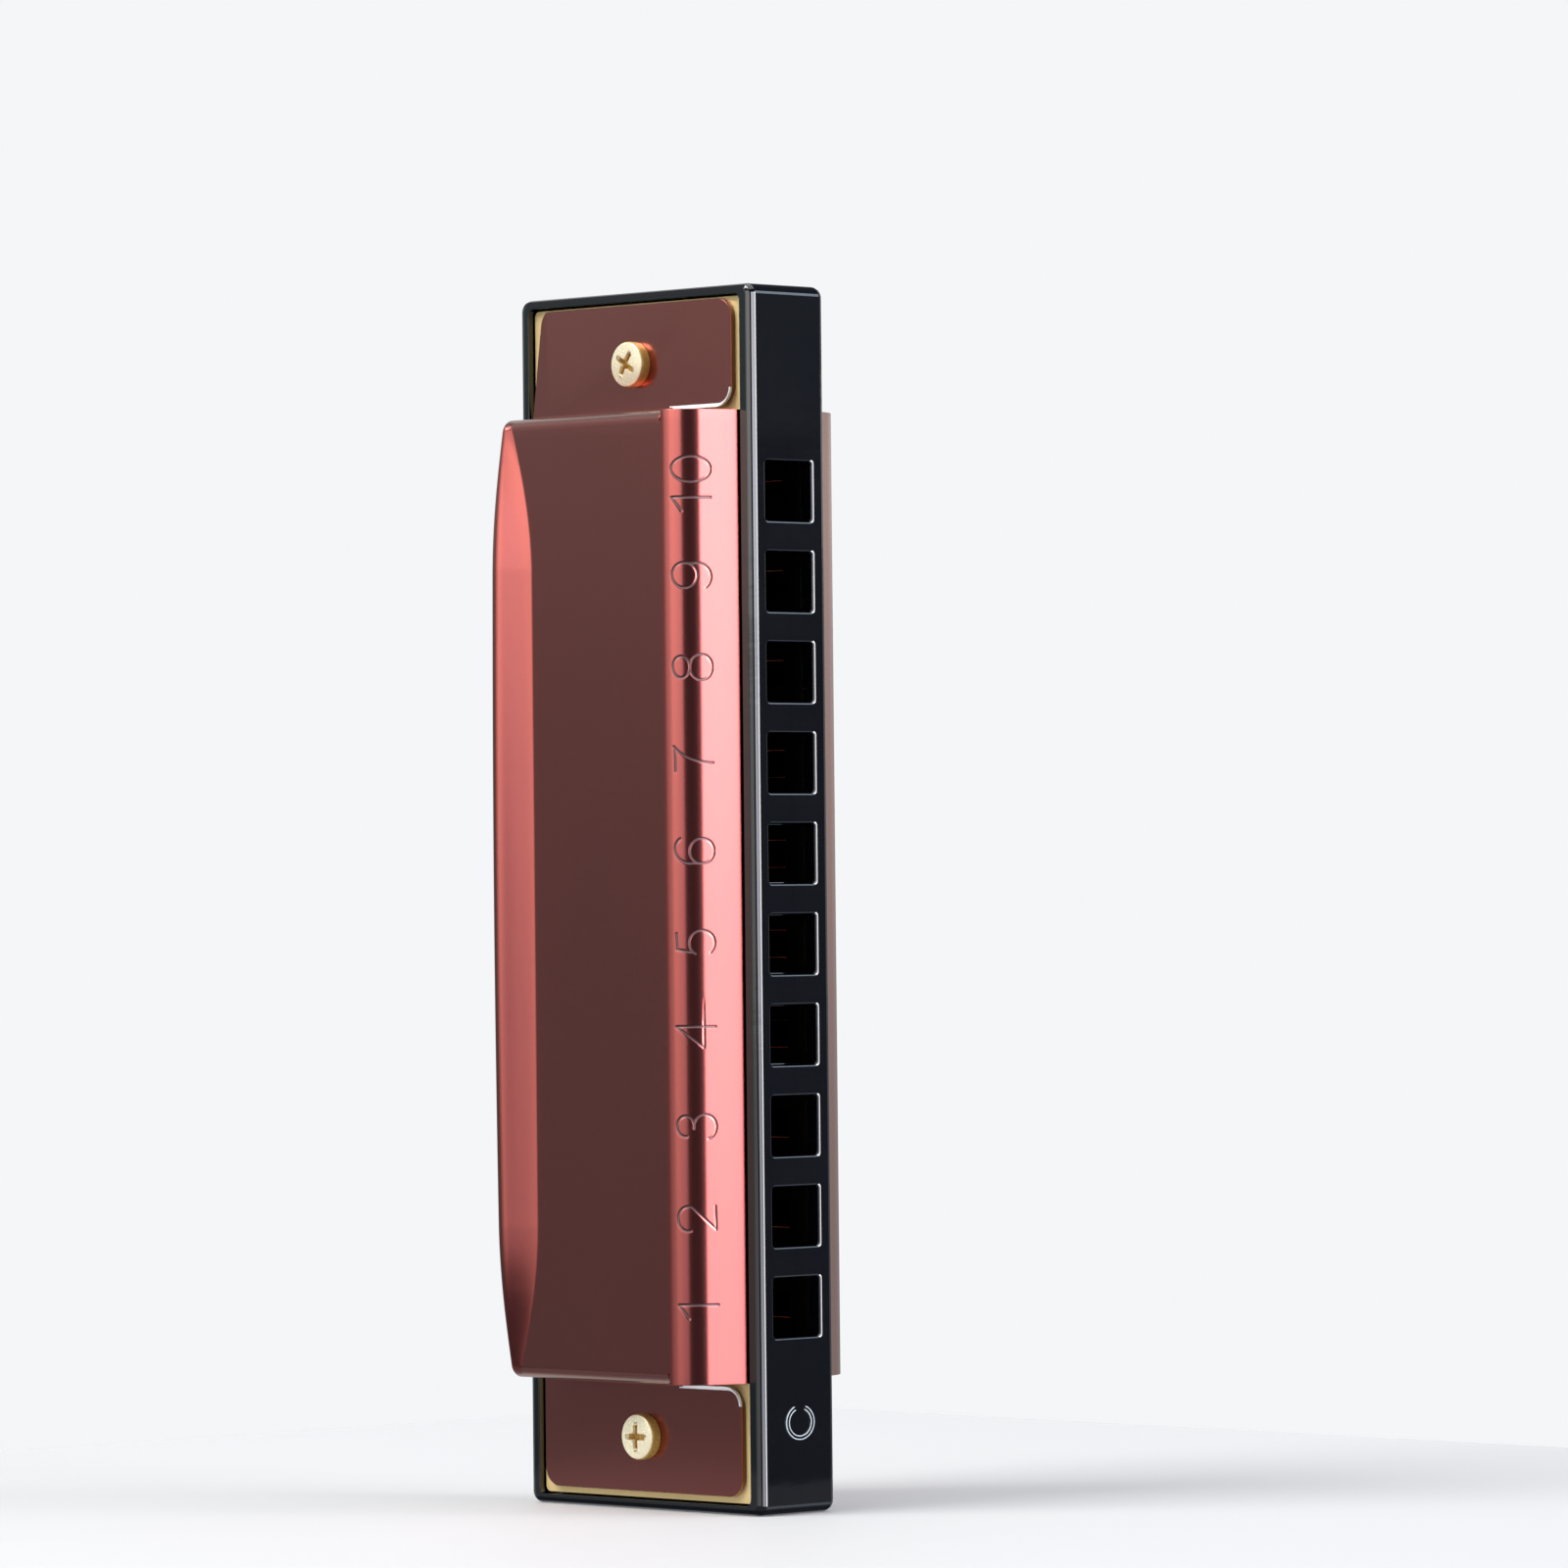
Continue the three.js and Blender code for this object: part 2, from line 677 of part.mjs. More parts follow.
function rivetPiece(hole, blows) {
  const { rivet } = reedPlace(hole, blows);
  const name = `${blows ? 'blow' : 'draw'}_rivet_${hole}`;
  const face = blows ? plateInner : plateOuter;
  const mesh = piece(name, rivetGeometry(), finishes.rivet(), face, rivet, sideHeight(hole, blows));
  if (blows) mesh.rotation.y = Math.PI;
  return mesh;
}

/** Everything on one face of the comb, in the side frame. */
function sideAssembly(label, blows) {
  const side = new THREE.Group();
  side.add(piece(`${label}_reed_plate`, reedPlateGeometry(blows), finishes.plate(), 0, 0, 0));
  side.add(piece(`${label}_cover`, coverGeometry(), finishes.cover(), 0, 0, 0));
  coverScrewHeights.forEach((height, index) => {
    const name = `${label}_cover_screw_${index + 1}`;
    side.add(piece(name, coverScrewGeometry(), finishes.coverScrew(), tabOuter + seatGap, 0, height));
  });
  plateScrewHeights().forEach((height, index) => {
    const name = `${label}_plate_screw_${index + 1}`;
    const seat = plateOuter + seatGap;
    side.add(piece(name, plateScrewGeometry(), finishes.plateScrew(), seat, plateScrewLine, height));
  });
  for (const hole of holes) side.add(reedPiece(hole, blows), rivetPiece(hole, blows));
  return side;
}

const harmonica = new THREE.Group();
harmonica.add(piece('comb', combGeometry(), finishes.comb(), 0, 0, 0));
harmonica.add(sideAssembly('lower', false));

const upperSide = sideAssembly('upper', true);
upperSide.rotation.y = Math.PI;
upperSide.position.z = combLength;
harmonica.add(upperSide);

export default harmonica;
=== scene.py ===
"""Looks of a ten-hole diatonic harmonica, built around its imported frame.

Pieces are shaped on the bench in millimetres and brought to metres when they are finished.
Each side of the harmonica is shaped in a side frame: x outwards from the comb's middle plane,
y from the mouth side rearwards and z along the comb. The upper side is turned over about Y.
"""

import logging
import math
from collections.abc import Callable
from dataclasses import dataclass
from enum import Enum
from itertools import pairwise

import bmesh
import bpy
from mathutils import Matrix, Vector


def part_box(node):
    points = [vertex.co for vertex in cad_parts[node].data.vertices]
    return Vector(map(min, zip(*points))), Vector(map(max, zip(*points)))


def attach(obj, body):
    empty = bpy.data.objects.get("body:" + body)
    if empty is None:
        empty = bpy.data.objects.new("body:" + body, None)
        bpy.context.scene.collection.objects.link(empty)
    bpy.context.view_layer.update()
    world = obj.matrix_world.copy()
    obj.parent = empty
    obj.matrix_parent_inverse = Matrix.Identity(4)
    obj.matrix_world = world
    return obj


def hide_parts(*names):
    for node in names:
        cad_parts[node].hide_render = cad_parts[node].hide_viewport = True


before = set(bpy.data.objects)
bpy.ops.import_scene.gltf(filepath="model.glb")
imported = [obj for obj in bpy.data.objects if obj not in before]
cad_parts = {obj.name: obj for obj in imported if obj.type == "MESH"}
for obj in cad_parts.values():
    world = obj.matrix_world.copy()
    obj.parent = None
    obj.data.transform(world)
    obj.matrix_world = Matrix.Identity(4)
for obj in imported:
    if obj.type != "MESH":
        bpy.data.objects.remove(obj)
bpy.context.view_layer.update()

log = logging.getLogger("harmonica")

BODY = "body"
IMPRINT = "imprint"
MM = 0.001
X = Vector((1, 0, 0))
Y = Vector((0, 1, 0))
Z = Vector((0, 0, 1))
ORIGIN = X * 0
QUARTER_TURN = math.pi / 2
FULL_TURN = 2 * math.pi

# How near two places, and how close a direction's cosine, count as the same
NEAR = 0.01
ALIGNED = 0.9

# Sizes that several pieces share, in millimetres
RIM_FRONT = 1.35
SCREW_HOLE = 1.25
SCREW_HEAD = 1.2
SEAT_GAP = 0.02
OVERRUN = 0.4
EDGE_BREAK = 0.04

Triple = tuple[float, float, float]
Pair = tuple[float, float]
Test = Callable[[Vector, Vector], bool]
Weight = Callable[[Vector], float]
Socket = bpy.types.NodeSocket


def box_mm(node: str) -> tuple[Vector, Vector]:
    """Gives a CAD node's lowest and highest corners, in millimetres."""
    low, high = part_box(node)
    return low / MM, high / MM


def middle_mm(node: str, level: float) -> Vector:
    """Gives the point in the middle of a CAD node's box, moved to a level along X."""
    low, high = box_mm(node)
    return Vector((level, (low.y + high.y) / 2, (low.z + high.z) / 2))


def nodes_named(word: str) -> list[str]:
    """Gives the CAD nodes whose names hold a word, in the frame's order."""
    return [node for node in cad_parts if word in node]


COMB_LOW, COMB_HIGH = box_mm("comb")
COMB_LENGTH = COMB_HIGH.z - COMB_LOW.z


class Part(Enum):
    """What a selection picks on a mesh."""

    VERTEX = "VERT"
    EDGE = "EDGE"
    FACE = "FACE"


class Side(Enum):
    """The two faces of the comb."""

    UPPER = "upper"
    LOWER = "lower"


class Recess(Enum):
    """The kinds of drive in a screw's head."""

    CROSS = "cross"
    SLOT = "slot"


def clear_bench() -> None:
    """Leaves edit mode and deselects everything."""
    if bpy.context.mode != "OBJECT":
        bpy.ops.object.mode_set(mode="OBJECT")
    bpy.ops.object.select_all(action="DESELECT")


class Workpiece:
    """One mesh on the bench, in millimetres, shaped by Blender's own operators."""

    def __init__(self, name: str) -> None:
        """Takes the object that was just added and names it.

        Args:
            name: The piece's name.
        """
        self.object = bpy.context.active_object
        self.object.name = name
        self.object.data.name = name

    @classmethod
    def cube(cls, name: str, corner: Vector, opposite: Vector) -> "Workpiece":
        """Adds a cube and stretches it to a box.

        Args:
            name: The piece's name.
            corner: One corner of the box.
            opposite: The corner furthest from it.

        Returns:
            The new piece, in edit mode.
        """
        clear_bench()
        bpy.ops.mesh.primitive_cube_add(size=1)
        piece = cls(name)
        piece.edit()
        piece.stretch([abs(length) for length in opposite - corner])
        piece.shift((opposite + corner) / 2)
        return piece

    @classmethod
    def bar(cls, name: str, radius: float, sides: int, start: Vector, length: float) -> "Workpiece":
        """Adds a cylinder along X.

        Args:
            name: The piece's name.
            radius: Its radius.
            sides: How many sides it has.
            start: The middle of its lowest end.
            length: Its length along X.

        Returns:
            The new piece, in edit mode.
        """
        clear_bench()
        bpy.ops.mesh.primitive_cylinder_add(vertices=sides, radius=radius, depth=length)
        piece = cls(name)
        piece.edit()
        piece.turn(QUARTER_TURN, "Y")
        piece.shift(start + X * (length / 2))
        return piece

    @classmethod
    def point(cls, name: str, place: Vector) -> "Workpiece":
        """Adds a plane and draws it together to the one point where a chain starts.

        Args:
            name: The piece's name.
            place: The point.

        Returns:
            The new piece, in edit mode, with its point selected.
        """
        clear_bench()
        bpy.ops.mesh.primitive_plane_add(size=1)
        piece = cls(name)
        piece.edit()
        bpy.ops.mesh.merge(type="CENTER")
        piece.shift(place)
        return piece

    def close(self) -> None:
        """Leaves edit mode, with only this piece selected and active."""
        clear_bench()
        bpy.context.view_layer.objects.active = self.object
        self.object.select_set(True)

    def edit(self) -> None:
        """Makes the piece active and opens its mesh, all selected."""
        self.close()
        bpy.ops.object.mode_set(mode="EDIT")
        bpy.ops.mesh.select_mode(type="VERT")
        self.select_all()

    def select_all(self) -> None:
        """Selects the whole mesh, in edit mode."""
        bpy.ops.mesh.select_all(action="SELECT")

    def pick(self, part: Part, test: Test) -> None:
        """Selects what passes a test, in edit mode.

        Args:
            part: Whether vertices, edges or faces are picked.
            test: Takes a middle and a normal, or an edge's direction.
        """
        bpy.ops.mesh.select_mode(type=part.value)
        bpy.ops.mesh.select_all(action="DESELECT")
        shape = bmesh.from_edit_mesh(self.object.data)
        shape.normal_update()
        if part is Part.VERTEX:
            for vertex in shape.verts:
                vertex.select_set(test(vertex.co, vertex.normal))
        elif part is Part.EDGE:
            for edge in shape.edges:
                start, end = (vertex.co for vertex in edge.verts)
                edge.select_set(test((start + end) / 2, (end - start).normalized()))
        else:
            for face in shape.faces:
                face.select_set(test(face.calc_center_median(), face.normal))
        shape.select_flush_mode()
        bmesh.update_edit_mesh(self.object.data)

    def shift(self, offset: Vector) -> None:
        """Moves the selection by an offset."""
        bpy.ops.transform.translate(value=offset)

    def stretch(self, factors: tuple[float, float, float], centre: Vector = ORIGIN) -> None:
        """Scales the selection along each axis, away from a centre."""
        bpy.ops.transform.resize(value=factors, center_override=centre)

    def turn(self, angle: float, axis: str, centre: Vector = ORIGIN) -> None:
        """Turns the selection about a centre."""
        bpy.ops.transform.rotate(value=angle, orient_axis=axis, center_override=centre)

    def trace(self, *offsets: Vector) -> None:
        """Extrudes the selection by each offset in turn."""
        for offset in offsets:
            bpy.ops.mesh.extrude_region_move(TRANSFORM_OT_translate={"value": offset})

    def run(self, offset: Vector, steps: int) -> None:
        """Extrudes the selection by an offset in equal steps."""
        self.trace(*[offset / steps] * steps)

    def spin(self, centre: Vector, axis: Vector, angle: float, steps: int) -> None:
        """Sweeps the selection round an axis through a centre, by the right-hand rule."""
        bpy.ops.mesh.spin(steps=steps, angle=-angle, center=centre, axis=axis)

    def head(self, seat: Vector, radius: float, height: float, edge: float, tilt: float) -> None:
        """Draws a domed head's outline from its foot to the axis, and turns the whole chain about X.

        Args:
            seat: The head's seat on the axis; the chain ends at the foot's rim.
            radius: The head's radius.
            height: The head's height.
            edge: The radius of the edge between its wall and its dome.
            tilt: How far the dome's rim leans, in degrees.
        """
        lean = math.radians(tilt)
        sphere = (radius - edge) / math.sin(lean) + edge
        wall = height - edge * math.cos(lean) - sphere * (1 - math.cos(lean))
        self.trace(X * wall)
        self.spin(seat + Vector((wall, radius - edge, 0)), Z, lean - QUARTER_TURN, steps=5)
        self.spin(seat + X * (height - sphere), Z, -lean, steps=8)
        self.select_all()
        self.spin(ORIGIN, X, FULL_TURN, steps=64)
        self.merge()

    def bevel(self, width: float, segments: int, profile: float = 0.5) -> None:
        """Rounds the selected edges, fuller than a circle where the profile is over a half."""
        bpy.ops.mesh.bevel(offset=width, segments=segments, profile=profile, affect="EDGES")

    def round_along(self, axis: Vector, width: float, segments: int) -> None:
        """Rounds the edges that run along an axis."""
        self.pick(Part.EDGE, lambda place, along: abs(along.dot(axis)) > ALIGNED)
        self.bevel(width, segments)

    def weld(self, reach: float) -> None:
        """Merges all vertices that lie within a reach of one another."""
        self.select_all()
        bpy.ops.mesh.remove_doubles(threshold=reach)

    def merge(self) -> None:
        """Merges doubled vertices and points every face outwards."""
        self.weld(NEAR / 10)
        bpy.ops.mesh.normals_make_consistent(inside=False)

    def cap(self) -> None:
        """Closes every open end and points every face outwards."""
        self.select_all()
        bpy.ops.mesh.fill_holes(sides=0)
        self.merge()

    def weigh(self, name: str, weight: Weight) -> None:
        """Fills a vertex group by place.

        Args:
            name: The group's name.
            weight: Takes a vertex's place and gives its weight.
        """
        self.close()
        group = self.object.vertex_groups.new(name=name)
        for vertex in self.object.data.vertices:
            share = weight(vertex.co)
            if share > 0:
                group.add([vertex.index], share, "REPLACE")

    def record(self, name: str, value: Weight) -> None:
        """Keeps a value for each vertex as a mesh attribute that a finish reads.

        Args:
            name: The attribute's name.
            value: Takes a vertex's place and gives its value.
        """
        self.close()
        mesh = self.object.data
        kept = mesh.attributes.new(name=name, type="FLOAT", domain="POINT")
        kept.data.foreach_set("value", [value(vertex.co) for vertex in mesh.vertices])

    def modify(self, kind: str, **settings: object) -> None:
        """Adds a modifier and applies it.

        Args:
            kind: The modifier's type.
            settings: Its settings.
        """
        self.close()
        bpy.ops.object.modifier_add(type=kind)
        modifier = self.object.modifiers[-1]
        for key, value in settings.items():
            setattr(modifier, key, value)
        bpy.ops.object.modifier_apply(modifier=modifier.name)

    def push(self, group: str, direction: str, distance: float) -> None:
        """Moves a vertex group by its weights along a direction."""
        self.modify("DISPLACE", vertex_group=group, direction=direction, strength=distance, mid_level=0)

    def combine(self, other: "Workpiece", operation: str) -> None:
        """Joins or cuts this piece with another one, which is used up."""
        self.modify("BOOLEAN", operation=operation, object=other.object, solver="EXACT")
        bpy.data.objects.remove(other.object)

    def cut(self, cutters: list["Workpiece"]) -> None:
        """Cuts pieces out of this one, all at once."""
        self.combine(join("cutters", cutters), "DIFFERENCE")

    def soften(self, width: float, angle: float) -> None:
        """Breaks every edge that is sharper than an angle in degrees."""
        self.modify("BEVEL", width=width, segments=2, limit_method="ANGLE",
                    angle_limit=math.radians(angle), use_clamp_overlap=False)

    def smooth(self, angle: float) -> None:
        """Shades the piece smooth up to an angle, with flats that stay flat.

        Args:
            angle: The angle, in degrees.
        """
        self.close()
        bpy.ops.object.shade_smooth_by_angle(angle=math.radians(angle))
        self.modify("WEIGHTED_NORMAL", keep_sharp=True)

    def copy(self, name: str) -> "Workpiece":
        """Gives a copy of the piece with its own mesh.

        Args:
            name: The copy's name.

        Returns:
            The copy.
        """
        self.close()
        bpy.ops.object.duplicate(linked=False)
        return Workpiece(name)

    def move(self, offset: Vector) -> None:
        """Moves the whole mesh."""
        self.edit()
        self.shift(offset)

    def turn_over(self) -> None:
        """Turns the whole mesh from the lower side of the comb to the upper one."""
        self.edit()
        self.turn(math.pi, "Y", Z * (COMB_LENGTH / 2))

    def finish(self, finish: "Finish", slot: str, *nodes: str, body: str = BODY) -> None:
        """Brings the piece to metres, dresses it and hangs it on its body.

        Args:
            finish: What it is made of.
            slot: A material slot's name; not used.
            nodes: The CAD nodes that it stands for.
            body: The CAD body that it rides on.
        """
        self.edit()
        self.stretch((MM, MM, MM))
        self.close()
        self.object.vertex_groups.clear()
        self.object.data.materials.clear()
        self.object.data.materials.append(finish.material())
        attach(self.object, body)
        if nodes:
            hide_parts(*nodes)
        log.info("%s: %d faces", self.object.name, len(self.object.data.polygons))


def join(name: str, pieces: list[Workpiece]) -> Workpiece:
    """Joins pieces into one mesh.

    Args:
        name: The joined piece's name.
        pieces: What is joined; the first one takes the others.

    Returns:
        The joined piece.
    """
    pieces[0].close()
    for piece in pieces[1:]:
        piece.object.select_set(True)
    bpy.ops.object.join()
    return Workpiece(name)


class NodeBench:
    """A node tree that is filled one node at a time."""

    def __init__(self, tree: bpy.types.NodeTree) -> None:
        """Takes the tree."""
        self.tree = tree

    def fill(self, node: bpy.types.Node, inputs: dict[str | int, object]) -> None:
        """Fills a node's inputs.

        Args:
            node: The node.
            inputs: A linked output or a constant for each input.
        """
        for key, value in inputs.items():
            if isinstance(value, Socket):
                self.tree.links.new(value, node.inputs[key])
            else:
                node.inputs[key].default_value = value

    def add(self, kind: str, inputs: dict[str | int, object], **settings: object) -> bpy.types.Node:
        """Adds a node.

        Args:
            kind: The node's type, without the word that all types start with.
            inputs: A linked output or a constant for each input that is used.
            settings: The node's own settings.

        Returns:
            The node.
        """
        node = self.tree.nodes.new(f"ShaderNode{kind}")
        for key, value in settings.items():
            setattr(node, key, value)
        self.fill(node, inputs)
        return node

    def ramp(self, value: Socket, start: Pair, end: Pair = (0.0, 1.0)) -> Socket:
        """Maps a value from one range to another and keeps it inside."""
        return self.add("MapRange", {"Value": value, "From Min": start[0], "From Max": start[1],
                                     "To Min": end[0], "To Max": end[1]}).outputs["Result"]

    def blend(self, share: Socket, first: Socket | Triple, second: Socket | Triple) -> Socket:
        """Mixes two colours by a share of the second."""
        colours = [colour if isinstance(colour, Socket) else (*colour, 1) for colour in (first, second)]
        return self.add("Mix", {0: share, 6: colours[0], 7: colours[1]}, data_type="RGBA").outputs[2]


@dataclass(frozen=True)
class Finish:
    """A finish whose grain, colour drift and painted shade near the comb's middle plane come from nodes on
    Object coordinates, with a painted sheen at grazing angles where asked for.
    """

    name: str
    colour: Triple
    drift: Triple
    roughness: Pair
    metallic: float = 0.0
    grain: Triple = (900.0, 900.0, 900.0)
    grain_depth: float = 0.02
    grain_range: Pair = (0.3, 0.7)
    cloud: float = 60.0
    specular: float = 0.5
    # Painted shade: how far from the comb's middle plane it reaches, how soft its border is and its colour
    tarnish: float = 0.0
    tarnish_edge: float = 0.05
    tarnished: Triple = (0.012, 0.008, 0.005)
    imprint: float = 0.0
    imprint_range: Pair = (0.02, 0.45)
    imprinted: Triple = (0.32, 0.19, 0.19)
    # Painted sheen: a paler colour blended in towards grazing view angles, over a range of facing
    grazing: Triple | None = None
    grazing_range: Pair = (0.26, 0.6)

    def material(self) -> bpy.types.Material:
        """Gives the finish's material, made once.

        Returns:
            The material.
        """
        found = bpy.data.materials.get(self.name)
        if found:
            return found
        made = bpy.data.materials.new(self.name)
        made.use_nodes = True
        bench = NodeBench(made.node_tree)
        place = bench.add("TexCoord", {}).outputs["Object"]
        stretched = bench.add("Mapping", {"Vector": place, "Scale": self.grain}).outputs["Vector"]
        grain = bench.add("TexNoise", {"Vector": stretched, "Scale": 1.0, "Detail": 4.0}).outputs["Fac"]
        cloud = bench.add("TexNoise", {"Vector": place, "Scale": self.cloud, "Detail": 3.0}).outputs["Fac"]
        colour = bench.blend(cloud, self.colour, self.drift)
        roughness = bench.ramp(grain, self.grain_range, self.roughness)
        # Painted shade: darker nearer the comb's middle plane, where the parts lie in shadow
        if self.tarnish:
            colour = self.darken(bench, place, colour)
        # Painted sheen: paler towards grazing view angles, read from the view's facing
        if self.grazing:
            facing = bench.add("LayerWeight", {"Blend": 0.5}).outputs["Facing"]
            colour = bench.blend(bench.ramp(facing, self.grazing_range), colour, self.grazing)
        if self.imprint:
            stamped = bench.add("Attribute", {}, attribute_name=IMPRINT).outputs["Fac"]
            share = bench.ramp(stamped, self.imprint_range)
            colour = bench.blend(share, colour, self.imprinted)
            roughness = bench.add("Mix", {0: share, 2: roughness, 3: self.imprint}).outputs[0]
        bump = bench.add("Bump", {"Strength": 1.0, "Distance": self.grain_depth * MM, "Height": grain})
        bench.fill(made.node_tree.nodes["Principled BSDF"], {
            "Base Color": colour, "Metallic": self.metallic, "Roughness": roughness,
            "Specular IOR Level": self.specular, "Normal": bump.outputs["Normal"]})
        return made

    def darken(self, bench: NodeBench, place: Socket, colour: Socket) -> Socket:
        """Paints shade on what lies nearer to the comb's middle plane than the shade's reach: the shadow
        inside the chambers, along the tabs' edges and low on the screws.

        Args:
            bench: The material's nodes.
            place: Where the surface is.
            colour: Its colour without the painted shade.

        Returns:
            The colour with its painted shade.
        """
        across = bench.add("SeparateXYZ", {"Vector": place}).outputs["X"]
        distance = bench.add("Math", {0: across}, operation="ABSOLUTE").outputs[0]
        unshaded = bench.ramp(distance, (self.tarnish * MM, (self.tarnish + self.tarnish_edge) * MM))
        return bench.blend(unshaded, self.tarnished, colour)


# The cover: painted shade darkens it within 4.08 mm of the comb's middle plane, on the tabs' side edges,
# undersides and the slope's foot, and a paler sheen is painted at grazing angles
COVER = Finish("anodised_cover", (0.50, 0.13, 0.115), (0.53, 0.14, 0.122), (0.19, 0.25), 1.0,
               grain=(14000, 14000, 9000), grain_depth=0.0006, imprint=0.5, tarnish=4.08,
               tarnished=(0.10, 0.05, 0.02), grazing=(0.62, 0.42, 0.37))
COMB = Finish("gloss_black_comb", (0.0015, 0.002, 0.0035), (0.0028, 0.0034, 0.0055), (0.055, 0.085),
              grain=(120, 120, 240), grain_depth=0.03, specular=1.0)
# The plate: painted shade darkens what lies within 3.55 mm of the comb's middle plane, its chamber side in
# shadow
PLATE = Finish("rolled_brass_plate", (1.0, 0.78, 0.40), (0.96, 0.70, 0.31), (0.40, 0.50), 0.4,
               grain=(9000, 9000, 250), grain_depth=0.002, tarnish=3.55)
# The reeds: painted shade darkens what lies within 3.85 mm of the comb's middle plane, inside the chambers
# in shadow
REED = Finish("filed_brass_reed", (0.82, 0.62, 0.32), (0.76, 0.56, 0.27), (0.20, 0.30), 1.0,
              grain=(9000, 250, 9000), grain_depth=0.002, tarnish=3.85)
# The rivets: painted shade darkens what lies within 3.2 mm of the comb's middle plane, inside the chambers
# in shadow
RIVET = Finish("brass_rivet", (0.76, 0.53, 0.25), (0.70, 0.47, 0.20), (0.25, 0.35), 1.0,
               grain=(4000, 4000, 4000), grain_depth=0.002, tarnish=3.2)
# The screws: painted shade darkens what lies within 5.08 mm of the comb's middle plane, the lower head and
# the recess's floor, in shadow
GOLD = Finish("gold_plated_screw", (1.0, 0.93, 0.68), (1.0, 0.90, 0.62), (0.26, 0.28), 0.22,
              grain=(5000, 5000, 5000), grain_depth=0.00001, tarnish=5.08, tarnished=(0.6, 0.38, 0.1))
NICKEL = Finish("nickel_plated_screw", (0.60, 0.58, 0.54), (0.54, 0.52, 0.48), (0.20, 0.28), 1.0,
                grain=(2500, 2500, 2500), grain_depth=0.002)
# The rolled edges: near-white, partly the bare cut metal's colour and partly a painted highlight that stays
# white under weak light
BARE_EDGE_AND_HIGHLIGHT = Finish("bare_rolled_edge", (0.96, 0.96, 0.97), (0.92, 0.92, 0.94), (0.35, 0.45), 0.1,
              grain=(3000, 3000, 3000), grain_depth=0.002)
# The key letter's edges: a pale finish painted as the highlights on the black letter's rounded edges
LETTER_EDGE_HIGHLIGHT = Finish("painted_letter_edge_highlight", (0.72, 0.80, 0.84), (0.60, 0.68, 0.74), (0.25, 0.40), 0.0,
              grain=(3000, 3000, 3000), grain_depth=0.004)


@dataclass(frozen=True)
class HoleLayout:
    """Where the ten holes are."""

    count: int = 10
    pitch: float = 7.5
    end: float = 13.35

    def height(self, hole: int) -> float:
        """Gives the height of a hole's middle."""
        return self.end + (hole - 0.5) * self.pitch

    def holes(self) -> range:
        """Gives the holes' numbers."""
        return range(1, self.count + 1)


LAYOUT = HoleLayout()


